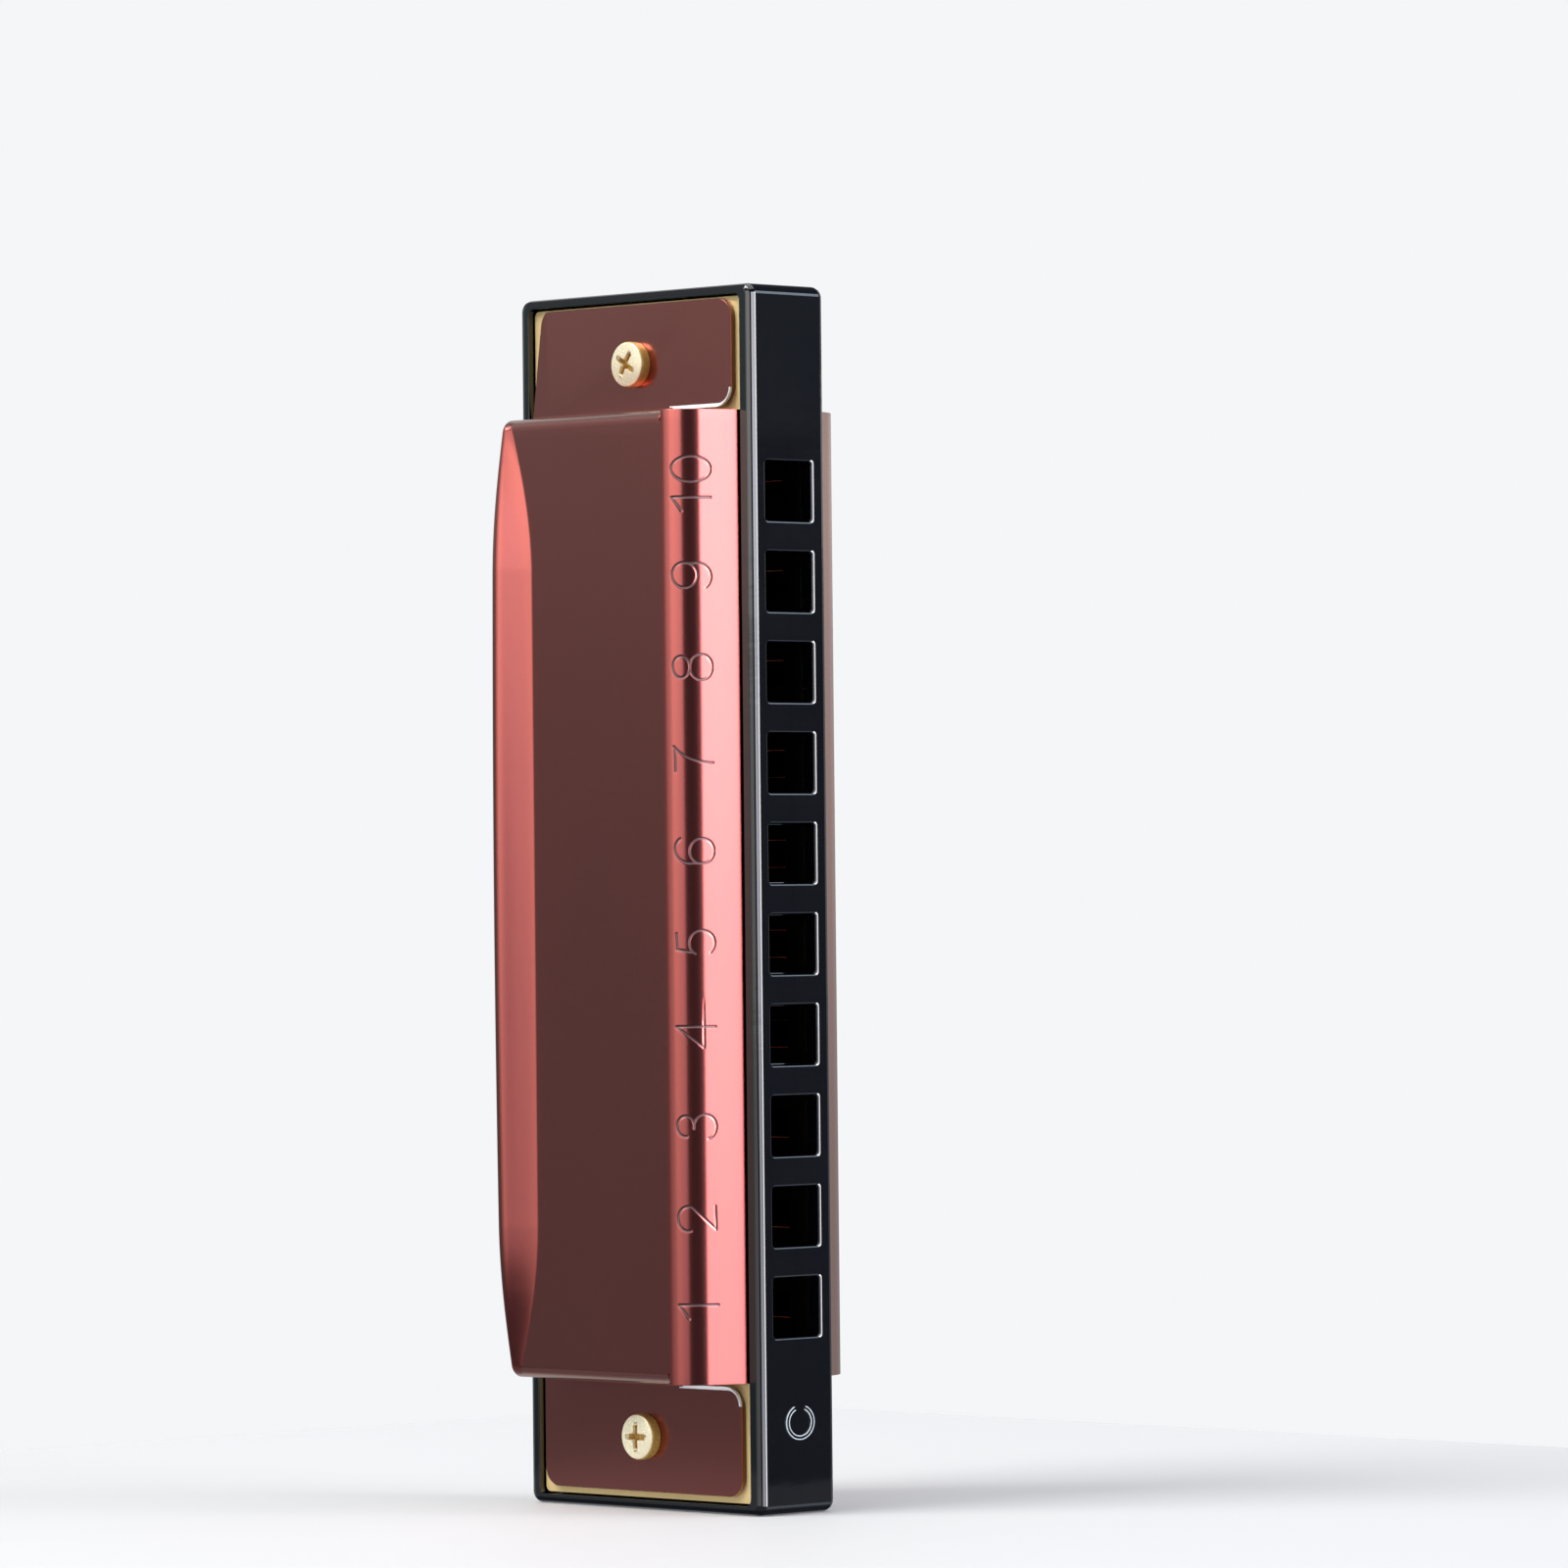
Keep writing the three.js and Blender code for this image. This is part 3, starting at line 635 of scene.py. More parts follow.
@dataclass
class Comb:
    """The moulded bar: two trays, ten chambers and ten mouth holes."""

    edge: float = 0.56
    edge_profile: float = 0.55
    edge_break: float = 0.1
    cut_break: float = 0.06
    sharp: float = math.radians(15)
    corner_radius: float = 1.0
    rim_rear: float = 1.1
    rim_end: float = 0.8
    tray_corner: float = 0.6
    mouth_width: float = 4.9
    mouth_corner: float = 0.35
    mouth_edge: float = 0.3
    mouth_profile: float = 0.26
    mouth_skin: float = 0.1
    chamber_corner: float = 0.8
    chamber_clearance: float = 0.9
    plate_screw_hole: float = 0.8
    hole_sides: int = 24
    parting_width: float = 0.07
    parting_height: float = 0.02
    parting_end: float = 2.0

    def tray_floor(self) -> float:
        """Gives how far a tray's floor lies from the comb's middle."""
        return box_mm("lower_reed_plate")[0].x - SEAT_GAP

    def blank(self) -> Workpiece:
        """Shapes the bar with its rounded corners and edges.

        Returns:
            The bar before anything is cut.
        """
        bar = Workpiece.cube("comb_moulding", COMB_LOW, COMB_HIGH)
        bar.round_along(X, self.corner_radius, segments=8)
        bar.pick(Part.EDGE, lambda place, along: abs(place.x) > COMB_HIGH.x - NEAR)
        bar.bevel(self.edge, segments=2, profile=self.edge_profile)
        bpy.ops.mesh.select_all(action="DESELECT")
        bpy.ops.mesh.edges_select_sharp(sharpness=self.sharp)
        bar.bevel(self.edge_break, segments=3)
        return bar

    def tray(self, sign: int) -> Workpiece:
        """Shapes the cutter for one tray.

        Args:
            sign: Which side of the comb it lies on, along X.

        Returns:
            The cutter.
        """
        floor = Vector((sign * self.tray_floor(), COMB_LOW.y + RIM_FRONT, self.rim_end))
        outside = Vector((sign * (COMB_HIGH.x + OVERRUN), COMB_HIGH.y - self.rim_rear,
                          COMB_LENGTH - self.rim_end))
        cutter = Workpiece.cube("tray_cutter", floor, outside)
        cutter.round_along(X, self.tray_corner, segments=6)
        return cutter

    def chamber(self, hole: int) -> Workpiece:
        """Shapes the cutter for one air chamber, with round rear corners.

        Args:
            hole: The hole's number.

        Returns:
            The cutter.
        """
        centre = LAYOUT.height(hole)
        reach = box_mm(f"blow_reed_{hole}")[1].y + self.chamber_clearance
        low = Vector((COMB_LOW.x, COMB_LOW.y + RIM_FRONT, centre - self.mouth_width / 2))
        high = Vector((COMB_HIGH.x, reach, centre + self.mouth_width / 2))
        cutter = Workpiece.cube("chamber_cutter", low, high)
        cutter.pick(Part.EDGE, lambda place, along: abs(along.x) > ALIGNED and place.y > reach - NEAR)
        cutter.bevel(self.chamber_corner, segments=6)
        return cutter

    def mouth(self, hole: int) -> Workpiece:
        """Shapes the cutter for one mouth hole, with round corners and a mouth that flares.

        Args:
            hole: The hole's number.

        Returns:
            The cutter.
        """
        centre = LAYOUT.height(hole)
        half = Vector((self.tray_floor() - self.mouth_skin, 0, self.mouth_width / 2))
        front = Vector((0, COMB_LOW.y + self.mouth_edge, centre))
        back = Vector((0, COMB_LOW.y + RIM_FRONT + OVERRUN, centre))
        cutter = Workpiece.cube("mouth_cutter", front - half, back + half)
        cutter.round_along(Y, self.mouth_corner, segments=5)
        cutter.pick(Part.FACE, lambda place, normal: normal.y < -ALIGNED)
        depths = (1 - self.mouth_profile, self.mouth_profile)
        for depth, (before, after) in zip(depths, pairwise((0, self.mouth_profile, 1))):
            cutter.trace(-Y * self.mouth_edge * depth)
            wide, high = ((size + self.mouth_edge * after) / (size + self.mouth_edge * before)
                          for size in (half.x, half.z))
            cutter.stretch((wide, 1, high), Z * centre)
        cutter.trace(-Y * OVERRUN)
        return cutter

    def pilots(self) -> list[Workpiece]:
        """Shapes the cutters for the screws' pilot holes.

        Returns:
            One bar for each place on either side, right through the core.
        """
        through = COMB_HIGH.x - COMB_LOW.x
        return [Workpiece.bar("pilot_cutter", radius, self.hole_sides, middle_mm(node, COMB_LOW.x), through)
                for kind, radius in (("cover", SCREW_HOLE), ("plate", self.plate_screw_hole))
                for node in nodes_named(f"lower_{kind}_screw")]

    def parting(self) -> list[Workpiece]:
        """Shapes the mould's parting line, which stands up a hair between the mouth holes.

        Returns:
            One thin bar for each wall.
        """
        clear = self.mouth_width / 2 + self.mouth_edge
        stops = [LAYOUT.height(1) - clear - self.parting_end]
        for hole in LAYOUT.holes():
            stops += [LAYOUT.height(hole) - clear, LAYOUT.height(hole) + clear]
        stops.append(stops[-1] + self.parting_end)
        half = Vector((self.parting_width / 2, self.parting_height, 0))
        front = Y * COMB_LOW.y
        return [Workpiece.cube("parting_line", front + Z * low - half, front + Z * high + half)
                for low, high in zip(stops[::2], stops[1::2])]

    def build(self) -> None:
        """Cuts the bar, softens its edges and dresses it."""
        bar = self.blank()
        bar.cut([self.tray(sign) for sign in (-1, 1)])
        bar.cut([self.chamber(hole) for hole in LAYOUT.holes()])
        bar.cut([self.mouth(hole) for hole in LAYOUT.holes()])
        bar.cut(self.pilots())
        bar.soften(self.cut_break, angle=40)
        bar = join("comb_moulding", [bar, *self.parting()])
        bar.smooth(angle=40)
        bar.finish(COMB, "comb", "comb")


@dataclass(frozen=True)
class Numeral:
    """A digit's strokes in a box one wide and one high, as chains of points."""

    strokes: tuple[tuple[Pair, ...], ...]

    @staticmethod
    def arc(middle: Pair, radii: Pair, start: float, end: float, steps: int = 24) -> tuple[Pair, ...]:
        """Gives the points of an arc.

        Args:
            middle: The arc's middle.
            radii: Its radius across and its radius up.
            start: Where it starts, in degrees from the right.
            end: Where it ends.
            steps: How many chords it has.

        Returns:
            The points, both ends included.
        """
        turns = [math.radians(start + (end - start) * step / steps) for step in range(steps + 1)]
        return tuple((middle[0] + radii[0] * math.cos(turn), middle[1] + radii[1] * math.sin(turn))
                     for turn in turns)

    def distance(self, across: float, up: float, width: float, height: float) -> float:
        """Gives how far a place is from the nearest stroke.

        Args:
            across: The place across the digit, as a share of its width.
            up: The place up the digit, as a share of its height.
            width: The digit's width.
            height: The digit's height.

        Returns:
            The distance in the units of width and height.
        """
        here = Vector((across * width, up * height))
        nearest = width + height
        for stroke in self.strokes:
            for start, end in pairwise(stroke):
                first = Vector((start[0] * width, start[1] * height))
                along = Vector((end[0] * width, end[1] * height)) - first
                share = (here - first).dot(along) / along.length_squared
                closest = first + along * min(max(share, 0), 1)
                nearest = min(nearest, (here - closest).length)
        return nearest


NUMERALS = {
    "0": Numeral((Numeral.arc((0.5, 0.5), (0.5, 0.5), 0, 360, 36),)),
    "1": Numeral((((0.73, 0.0), (0.73, 1.0), (0.2, 0.74)),)),
    "2": Numeral((Numeral.arc((0.5, 0.74), (0.48, 0.26), 195, -20) + ((0.08, 0.04), (1.0, 0.06)),)),
    "3": Numeral((Numeral.arc((0.52, 0.79), (0.4, 0.21), 190, -105),
                  Numeral.arc((0.5, 0.3), (0.48, 0.29), 70, -165))),
    "4": Numeral((((0.82, 0.0), (0.82, 1.0), (0.0, 0.31), (1.17, 0.31)),)),
    "5": Numeral((((0.87, 0.97), (0.24, 0.95), (0.13, 0.6)),
                  Numeral.arc((0.5, 0.335), (0.49, 0.33), 150, -140))),
    "6": Numeral((Numeral.arc((0.5, 0.315), (0.49, 0.315), 0, 360, 36),
                  Numeral.arc((0.56, 0.6), (0.54, 0.39), 40, 190) + ((0.01, 0.33),))),
    "7": Numeral((((0.0, 0.95), (0.95, 0.97)), Numeral.arc((1.55, 0.0), (1.2, 1.13), 118, 180))),
    "8": Numeral((Numeral.arc((0.5, 0.79), (0.42, 0.21), 0, 360, 30),
                  Numeral.arc((0.5, 0.29), (0.5, 0.29), 0, 360, 36))),
    "9": Numeral((Numeral.arc((0.5, 0.685), (0.49, 0.315), 0, 360, 36),
                  ((0.99, 0.67),) + Numeral.arc((0.44, 0.4), (0.54, 0.39), 10, -140))),
}


@dataclass
class PressedCover:
    """One pressed cover: slope, bend, flat, flared lip, end walls and tabs in one sheet."""

    side: Side
    thickness: float = 0.5
    slope_angle: float = math.radians(70)
    bend_radius: float = 3.0
    foot_clearance: float = 0.1
    height: float = 5.04
    body_end: float = 10.65
    upper_slips: Pair = (-0.25, -0.2)
    lower_slips: Pair = (0.4, 0.0)
    rear_inset: float = 3.4
    lip_rise: float = 1.77
    lip_crown: float = 0.515
    lip_depth: float = 3.4
    lip_end_depth: float = 0.8
    lip_ramp: float = 13.0
    lip_curve: float = 1.2
    lip_roll: float = 0.32
    lip_over: float = 1.35
    lip_steps: tuple[int, int] = (10, 7)
    end_radius: float = 1.0
    tab_radius: float = 0.5
    relief: float = 0.12
    tab_end: float = 1.3
    tab_half: float = 11.6
    tab_corner: float = 1.6
    hole_sides: int = 32
    hole_reach: float = 1.0
    tab_flares: tuple[Pair, Pair] = ((0.33, -0.15), (0.6, 0.6))
    numeral_width: float = 2.1
    numeral_height: float = 3.4
    numeral_foot: float = -0.8
    numeral_margin: float = 0.15
    numeral_reach: Pair = (0.25, 0.1)
    numeral_pitch: float = 7.57
    numeral_middle: float = 51.08
    ten_shifts: Pair = (-1.63, 1.19)
    groove_width: float = 0.11
    groove_depth: float = 0.055
    groove_curve: float = 1.5
    fine_step: float = 0.066
    bend_step: float = 1.25 / 6
    coarse_step: float = 1.25

    def __post_init__(self) -> None:
        """Works out the section's places from the frame and the sizes."""
        self.tab_top = box_mm("lower_cover_screw_1")[1].x - SCREW_HEAD - SEAT_GAP
        self.tab_bottom = self.tab_top - self.thickness
        self.flat = COMB_HIGH.x + self.height
        self.foot = COMB_LOW.y + RIM_FRONT + self.foot_clearance
        rise = self.flat - self.bend_radius * (1 - math.cos(self.slope_angle)) - self.tab_bottom
        self.slope_length = rise / math.sin(self.slope_angle)
        self.slope_rear = self.foot + rise / math.tan(self.slope_angle)
        self.flat_front = self.slope_rear + self.bend_radius * math.sin(self.slope_angle)
        self.rear = COMB_HIGH.y - self.rear_inset
        self.crease = self.rear - self.lip_depth
        upper = self.side is Side.UPPER
        body_slip, self.tab_slip = self.upper_slips if upper else self.lower_slips
        self.body_low = self.body_end + body_slip
        self.body_high = COMB_LENGTH - self.body_end + body_slip
        self.marks = self.numerals() if upper else []

    def numerals(self) -> list[tuple[str, float]]:
        """Gives the digits of the hole numbers.

        Returns:
            Each digit, with the height of its middle in the side frame.
        """
        marks = []
        for hole in LAYOUT.holes():
            middle = self.numeral_middle + (hole - (LAYOUT.count + 1) / 2) * self.numeral_pitch
            shifts = self.ten_shifts if hole >= LAYOUT.count else (0,)
            marks += [(digit, COMB_LENGTH - middle - shift) for digit, shift in zip(str(hole), shifts)]
        return marks

    def stations(self) -> list[float]:
        """Gives the places along the cover: fine inside each digit and coarse between.

        Returns:
            The places, from the low end to the high one.
        """
        half = self.numeral_width / 2 + self.numeral_margin
        zones = sorted((height - half, height + half) for _, height in self.marks)
        edges = [self.body_low, self.body_low + self.end_radius]
        for low, high in zones:
            edges += [max(low, edges[-1]), high]
        edges += [self.body_high - self.end_radius, self.body_high]
        places = [edges[0]]
        for start, end in pairwise(edges):
            if end - start < NEAR:
                continue
            inside = any(low < (start + end) / 2 < high for low, high in zones)
            steps = math.ceil((end - start) / (self.fine_step if inside else self.coarse_step))
            places += [start + (end - start) * step / steps for step in range(1, steps + 1)]
        return places

    def ramp(self, place: Vector, length: float) -> float:
        """Gives a share that rises from 0 at the cover's nearest end to 1 over a length."""
        distance = min(place.z - self.body_low, self.body_high - place.z)
        return math.sin(QUARTER_TURN * min(max(distance / length, 0), 1))

    def lip_share(self, place: Vector) -> float:
        """Gives how far rearwards a place lies on the lip, from 0 to 1, before it is pressed."""
        return min(max((place.y - self.crease) / self.lip_depth, 0), 1)

    def rise_weight(self, place: Vector) -> float:
        """Gives the share of the lip's full rise that a place gets, with the lip's edge rolled over.

        Args:
            place: A place on the unpressed sheet.

        Returns:
            The share.
        """
        crown = self.lip_crown * self.ramp(place, COMB_LENGTH / 2 - self.body_end)
        full = self.lip_rise * self.ramp(place, self.lip_ramp) + crown
        share = self.lip_share(place)
        bend = self.lip_over * self.lip_curve / (2 * self.lip_roll)
        profile = share ** self.lip_curve - bend * max(share + self.lip_roll - 1, 0) ** 2
        return full / (self.lip_rise + self.lip_crown) * profile

    def slide_weight(self, place: Vector) -> float:
        """Gives the share of the lip's lost depth by which a place slides rearwards.

        Args:
            place: A place on the unpressed sheet.

        Returns:
            The share.
        """
        if place.y < self.flat_front + NEAR:
            return 0
        share = 1 - self.lip_share(place)
        if place.y < self.crease:
            share = (place.y - self.flat_front) / (self.crease - self.flat_front)
        return share * (1 - self.ramp(place, self.lip_ramp))

    def along_section(self, place: Vector) -> float:
        """Gives the way along the section from the slope's top edge, rearwards.

        Args:
            place: A place on the slope or the bend.

        Returns:
            The way, below zero on the slope.
        """
        if place.y <= self.slope_rear:
            return (place.y - self.slope_rear) / math.cos(self.slope_angle)
        turned = math.asin(min((self.flat_front - place.y) / self.bend_radius, 1))
        return (self.slope_angle - turned) * self.bend_radius

    def groove_weight(self, place: Vector) -> float:
        """Gives how deep the stamped numerals are at a place.

        Args:
            place: A place on the sheet.

        Returns:
            The share of the full depth.
        """
        if place.y > self.flat_front:
            return 0
        up = (self.along_section(place) - self.numeral_foot) / self.numeral_height
        beside, above = self.numeral_reach
        for digit, height in self.marks:
            across = 0.5 - (place.z - height) / self.numeral_width
            if -beside < across < 1 + beside and -above < up < 1 + above:
                near = NUMERALS[digit].distance(across, up, self.numeral_width, self.numeral_height)
                return max(1 - (near / self.groove_width) ** 2, 0) ** self.groove_curve
        return 0

    def channel(self, name: str) -> Workpiece:
        """Draws the section along the cover: slope, bend, flat and lip.

        Args:
            name: The piece's name.

        Returns:
            The open sheet, in edit mode.
        """
        places = self.stations()
        sheet = Workpiece.point(name, Vector((self.tab_bottom, self.foot, places[0])))
        sheet.trace(*(Z * (high - low) for low, high in pairwise(places)))
        sheet.select_all()
        uphill = Vector((math.sin(self.slope_angle), math.cos(self.slope_angle), 0))
        marked = self.numeral_margin - self.numeral_foot
        fine = self.fine_step if self.marks else self.bend_step
        sheet.trace(uphill * (self.slope_length - marked))
        sheet.run(uphill * marked, math.ceil(marked / fine))
        centre = Vector((self.flat - self.bend_radius, self.flat_front, 0))
        arc = self.numeral_foot + self.numeral_height + self.numeral_margin
        turn = arc / self.bend_radius
        sheet.spin(centre, Z, turn, math.ceil(arc / fine))
        rest = self.slope_angle - turn
        sheet.spin(centre, Z, rest, math.ceil(rest * self.bend_radius / self.bend_step))
        sheet.trace(Y * self.relief)
        sheet.run(Y * (self.crease - self.flat_front - self.relief), steps=2)
        rolled = self.lip_depth * self.lip_roll
        for length, steps in zip((self.lip_depth - rolled, rolled), self.lip_steps):
            sheet.run(Y * length, steps)
        return sheet

    def end(self, sheet: Workpiece, high: bool) -> None:
        """Turns the flat down into an end wall, and out again into a tab.

        Args:
            sheet: The open sheet, in edit mode.
            high: Whether this is the high end.
        """
        sign = 1 if high else -1
        edge = self.body_high if high else self.body_low
        line = edge - sign * self.end_radius
        inner = edge + sign * self.tab_radius
        far = (COMB_LENGTH - self.tab_end if high else self.tab_end) + self.tab_slip
        front = self.flat_front + self.relief
        sheet.pick(Part.FACE, lambda place, normal: (place.z - line) * sign > 0
                   and place.y > self.flat_front)
        bpy.ops.mesh.delete(type="FACE")
        sheet.pick(Part.EDGE, lambda place, along: abs(place.z - line) < NEAR
                   and place.y > front and abs(along.z) < 1 - ALIGNED)
        sheet.spin(Vector((self.flat - self.end_radius, 0, line)), Y, -sign * QUARTER_TURN, steps=8)
        sheet.run(-X * (self.flat - self.end_radius - self.tab_top - self.tab_radius), steps=3)
        sheet.spin(Vector((self.tab_top + self.tab_radius, 0, inner)), Y, sign * QUARTER_TURN, steps=6)
        sheet.trace(Z * (far - inner))
        for side, target, start in ((front, -self.tab_half, inner), (self.rear, self.tab_half, edge)):
            sheet.pick(Part.EDGE, lambda place, along: abs(place.y - side) < NEAR
                       and (place.z - start) * sign > NEAR and abs(along.y) < 1 - ALIGNED)
            sheet.trace(Y * (target - side))
        for at_far, flare in zip((False, True), self.tab_flares[high]):
            sheet.pick(Part.VERTEX, lambda place, normal: place.y > self.tab_half - NEAR
                       and (abs(place.z - far) < NEAR) == at_far)
            sheet.shift(Y * flare)
        sheet.pick(Part.VERTEX, lambda place, normal: place.y < NEAR - self.tab_half
                   and min(abs(place.z - far), abs(place.z - inner)) < NEAR
                   or place.y > self.rear + NEAR and abs(place.z - far) < NEAR)
        bpy.ops.mesh.bevel(offset=self.tab_corner, segments=8, affect="VERTICES")

    def face_outwards(self, sheet: Workpiece) -> None:
        """Merges an open sheet, and flips it where its flat faces the comb.

        Args:
            sheet: The open sheet, in edit mode.
        """
        sheet.merge()
        sheet.pick(Part.FACE, lambda place, normal: place.x > self.flat - NEAR)
        faces = bmesh.from_edit_mesh(sheet.object.data).faces
        if sum(face.normal.x for face in faces if face.select) < 0:
            sheet.select_all()
            bpy.ops.mesh.flip_normals()

    def build(self) -> None:
        """Presses the sheet, thickens it, stamps it and dresses it."""
        label = self.side.value
        sheet = self.channel(f"{label}_cover_shell")
        self.end(sheet, high=False)
        self.end(sheet, high=True)
        self.face_outwards(sheet)
        sheet.weigh("lip_rise", self.rise_weight)
        sheet.weigh("lip_slide", self.slide_weight)
        if self.marks:
            sheet.weigh("numerals", self.groove_weight)
            sheet.push("numerals", "NORMAL", -self.groove_depth)
        sheet.push("lip_rise", "X", self.lip_rise + self.lip_crown)
        sheet.push("lip_slide", "Y", self.lip_depth - self.lip_end_depth)
        sheet.modify("SOLIDIFY", thickness=self.thickness, offset=-1, use_even_offset=True)
        below, through = self.tab_bottom - self.hole_reach, self.thickness + 2 * self.hole_reach
        sheet.cut([Workpiece.bar("hole_cutter", SCREW_HOLE, self.hole_sides, middle_mm(node, below), through)
                   for node in nodes_named("lower_cover_screw")])
        sheet.soften(EDGE_BREAK, angle=60)
        sheet.edit()
        bpy.ops.mesh.dissolve_degenerate(threshold=NEAR / 100)
        sheet.smooth(angle=50)
        if self.marks:
            sheet.record(IMPRINT, self.groove_weight)
        if self.side is Side.UPPER:
            sheet.turn_over()
        sheet.finish(COVER, "cover", f"{label}_cover")


@dataclass
class RolledEdge:
    """The edge that rolls up at each tab's inner front corner, near-white partly as bare metal and partly as
    a painted highlight.
    """

    cover: PressedCover
    size: float = 0.32
    sunk: float = 0.05
    inset: float = 0.2
    start: float = -4.2
    run_in: float = 2.5

    def fullness(self, place: Vector, inner: float, sign: int) -> float:
        """Gives how far the edge has rolled up at a place, from 0 to 1.

        Args:
            place: The place.
            inner: The height of the tab's inner edge.
            sign: Which way the tab lies from there along Z.

        Returns:
            The share.
        """
        entry = (self.start - place.y) / self.run_in
        corner = 1 - (place.z - inner - sign * self.size) * sign / self.cover.tab_corner
        return min(max(entry, 0), max(corner, 0) ** 0.5, 1)

    def roll(self, name: str, high: bool) -> Workpiece:
        """Sweeps the rolled edge's section along the tab's inner edge and round its corner.

        Args:
            name: The piece's name.
            high: Whether this is the high end.

        Returns:
            The closed piece.
        """
        cover = self.cover
        sign = 1 if high else -1
        end = cover.body_high if high else cover.body_low
        inner = end + sign * (cover.tab_radius - self.inset)
        foot = Vector((cover.tab_top, self.start, inner))
        edge = Workpiece.point(name, foot - X * self.sunk)
        edge.trace(X * (self.size + self.sunk))
        edge.spin(foot + Vector((self.size, 0, sign * self.size)), Y, sign * QUARTER_TURN, steps=6)
        edge.trace(-X * self.sunk, -Z * sign * self.size)
        edge.weld(NEAR / 2)
        corner = cover.tab_corner - cover.tab_half
        edge.run(Y * (corner - self.start), steps=10)
        edge.spin(Vector((0, corner, inner + sign * cover.tab_corner)), X, -sign * QUARTER_TURN, steps=12)
        edge.cap()
        edge.weigh("lowered", lambda place: (1 - self.fullness(place, inner, sign))
                   * max(place.x - cover.tab_top, 0) / self.size)
        edge.push("lowered", "X", -self.size)
        return edge

    def build(self) -> None:
        """Makes the rolled edge at both ends of the cover."""
        label = self.cover.side.value
        for index, high in enumerate((False, True), 1):
            edge = self.roll(f"{label}_cover_rolled_edge_{index}", high)
            edge.smooth(angle=50)
            if self.cover.side is Side.UPPER:
                edge.turn_over()
            # Near-white partly as bare metal, partly as a painted highlight
            edge.finish(BARE_EDGE_AND_HIGHLIGHT, "cover")


@dataclass
class ReedPlate:
    """A flat brass plate with a slot for each reed."""

    side: Side
    corner: float = 0.5
    root_length: float = 2.9
    tip_clearance: float = 0.1
    slot_width: float = 2.3

    def slot(self, hole: int) -> Workpiece:
        """Shapes the cutter for the slot that a reed swings through.

        Args:
            hole: The hole's number.

        Returns:
            The cutter.
        """
        blows = self.side is Side.UPPER
        low, high = box_mm(f"{'blow' if blows else 'draw'}_reed_{hole}")
        bottom, top = box_mm(f"{self.side.value}_reed_plate")
        front, rear = ((self.root_length, self.tip_clearance) if blows
                       else (-self.tip_clearance, -self.root_length))
        middle = (low.z + high.z) / 2
        return Workpiece.cube(
            "slot_cutter", Vector((bottom.x - OVERRUN, low.y + front, middle - self.slot_width / 2)),
            Vector((top.x + OVERRUN, high.y + rear, middle + self.slot_width / 2)))

    def build(self) -> None:
        """Cuts the plate, breaks its edges and dresses it."""
        node = f"{self.side.value}_reed_plate"
        plate = Workpiece.cube(f"{node}_rolled", *box_mm(node))
        plate.round_along(X, self.corner, segments=6)
        plate.cut([self.slot(hole) for hole in LAYOUT.holes()])
        plate.soften(EDGE_BREAK, angle=40)
        plate.smooth(angle=40)
        plate.finish(PLATE, "reed_plate", node)


@dataclass
class Screw:
    """One kind of domed pan-head screw, turned once and copied to its places."""

    kind: str
    finish: Finish
    recess: Recess
    head_radius: float = 1.92
    head_height: float = SCREW_HEAD
    edge: float = 0.25
    tilt: float = 15.0
    shank_radius: float = 1.0
    point: float = 0.5
    recess_length: float = 2.5
    recess_width: float = 0.6
    recess_depth: float = 0.75
    recess_taper: float = 0.6
    turns: tuple[float, ...] = (15.0, 60.0, 32.0, 0.0)

    def blank(self, name: str, length: float) -> Workpiece:
        """Turns the screw about X, with its head's foot at x = 0.

        Args:
            name: The piece's name.
            length: The shank's length.

        Returns:
            The screw before its recess is cut.
        """
        screw = Workpiece.point(name, X * -length)
        screw.trace(Y * (self.shank_radius - self.point / 2), Vector((self.point, self.point / 2, 0)),
                    X * (length - self.point), Y * (self.head_radius - self.shank_radius))
        screw.head(ORIGIN, self.head_radius, self.head_height, self.edge, self.tilt)
        return screw

    def bar(self, along: Vector) -> Workpiece:
        """Shapes one tapered bar of the recess's cutter.

        Args:
            along: Which way the bar runs.

        Returns:
            The bar.
        """
        half = Vector((0, self.recess_width / 2, self.recess_width / 2))
        half += along * (self.recess_length - self.recess_width) / 2
        floor = X * (self.head_height - self.recess_depth)
        bar = Workpiece.cube("recess_cutter", floor - half, X * (self.head_height + self.edge) + half)
        bar.pick(Part.FACE, lambda place, normal: normal.x < -ALIGNED)
        bar.stretch((1, self.recess_taper, self.recess_taper), floor)
        return bar

    def build(self) -> None:
        """Makes one screw and copies it to its places, each turned by its own amount."""
        low, high = box_mm(f"lower_{self.kind}_1")
        screw = self.blank("screw_master", high.x - low.x - self.head_height)
        cutter = self.bar(Z)
        if self.recess is Recess.CROSS:
            cutter.combine(self.bar(Y), "UNION")
        screw.combine(cutter, "DIFFERENCE")
        screw.soften(EDGE_BREAK, angle=40)
        screw.smooth(angle=35)
        for index, node in enumerate(sorted(nodes_named(self.kind))):
            low, high = box_mm(node)
            one = screw.copy(f"{node}_plated")
            one.edit()
            one.turn(math.radians(self.turns[index % len(self.turns)]), "X")
            seat = high.x - self.head_height
            if node.startswith(Side.UPPER.value):
                one.turn(math.pi, "Z")
                seat = low.x + self.head_height
            one.move(middle_mm(node, seat))
            one.finish(self.finish, self.kind, node)
        bpy.data.objects.remove(screw.object)


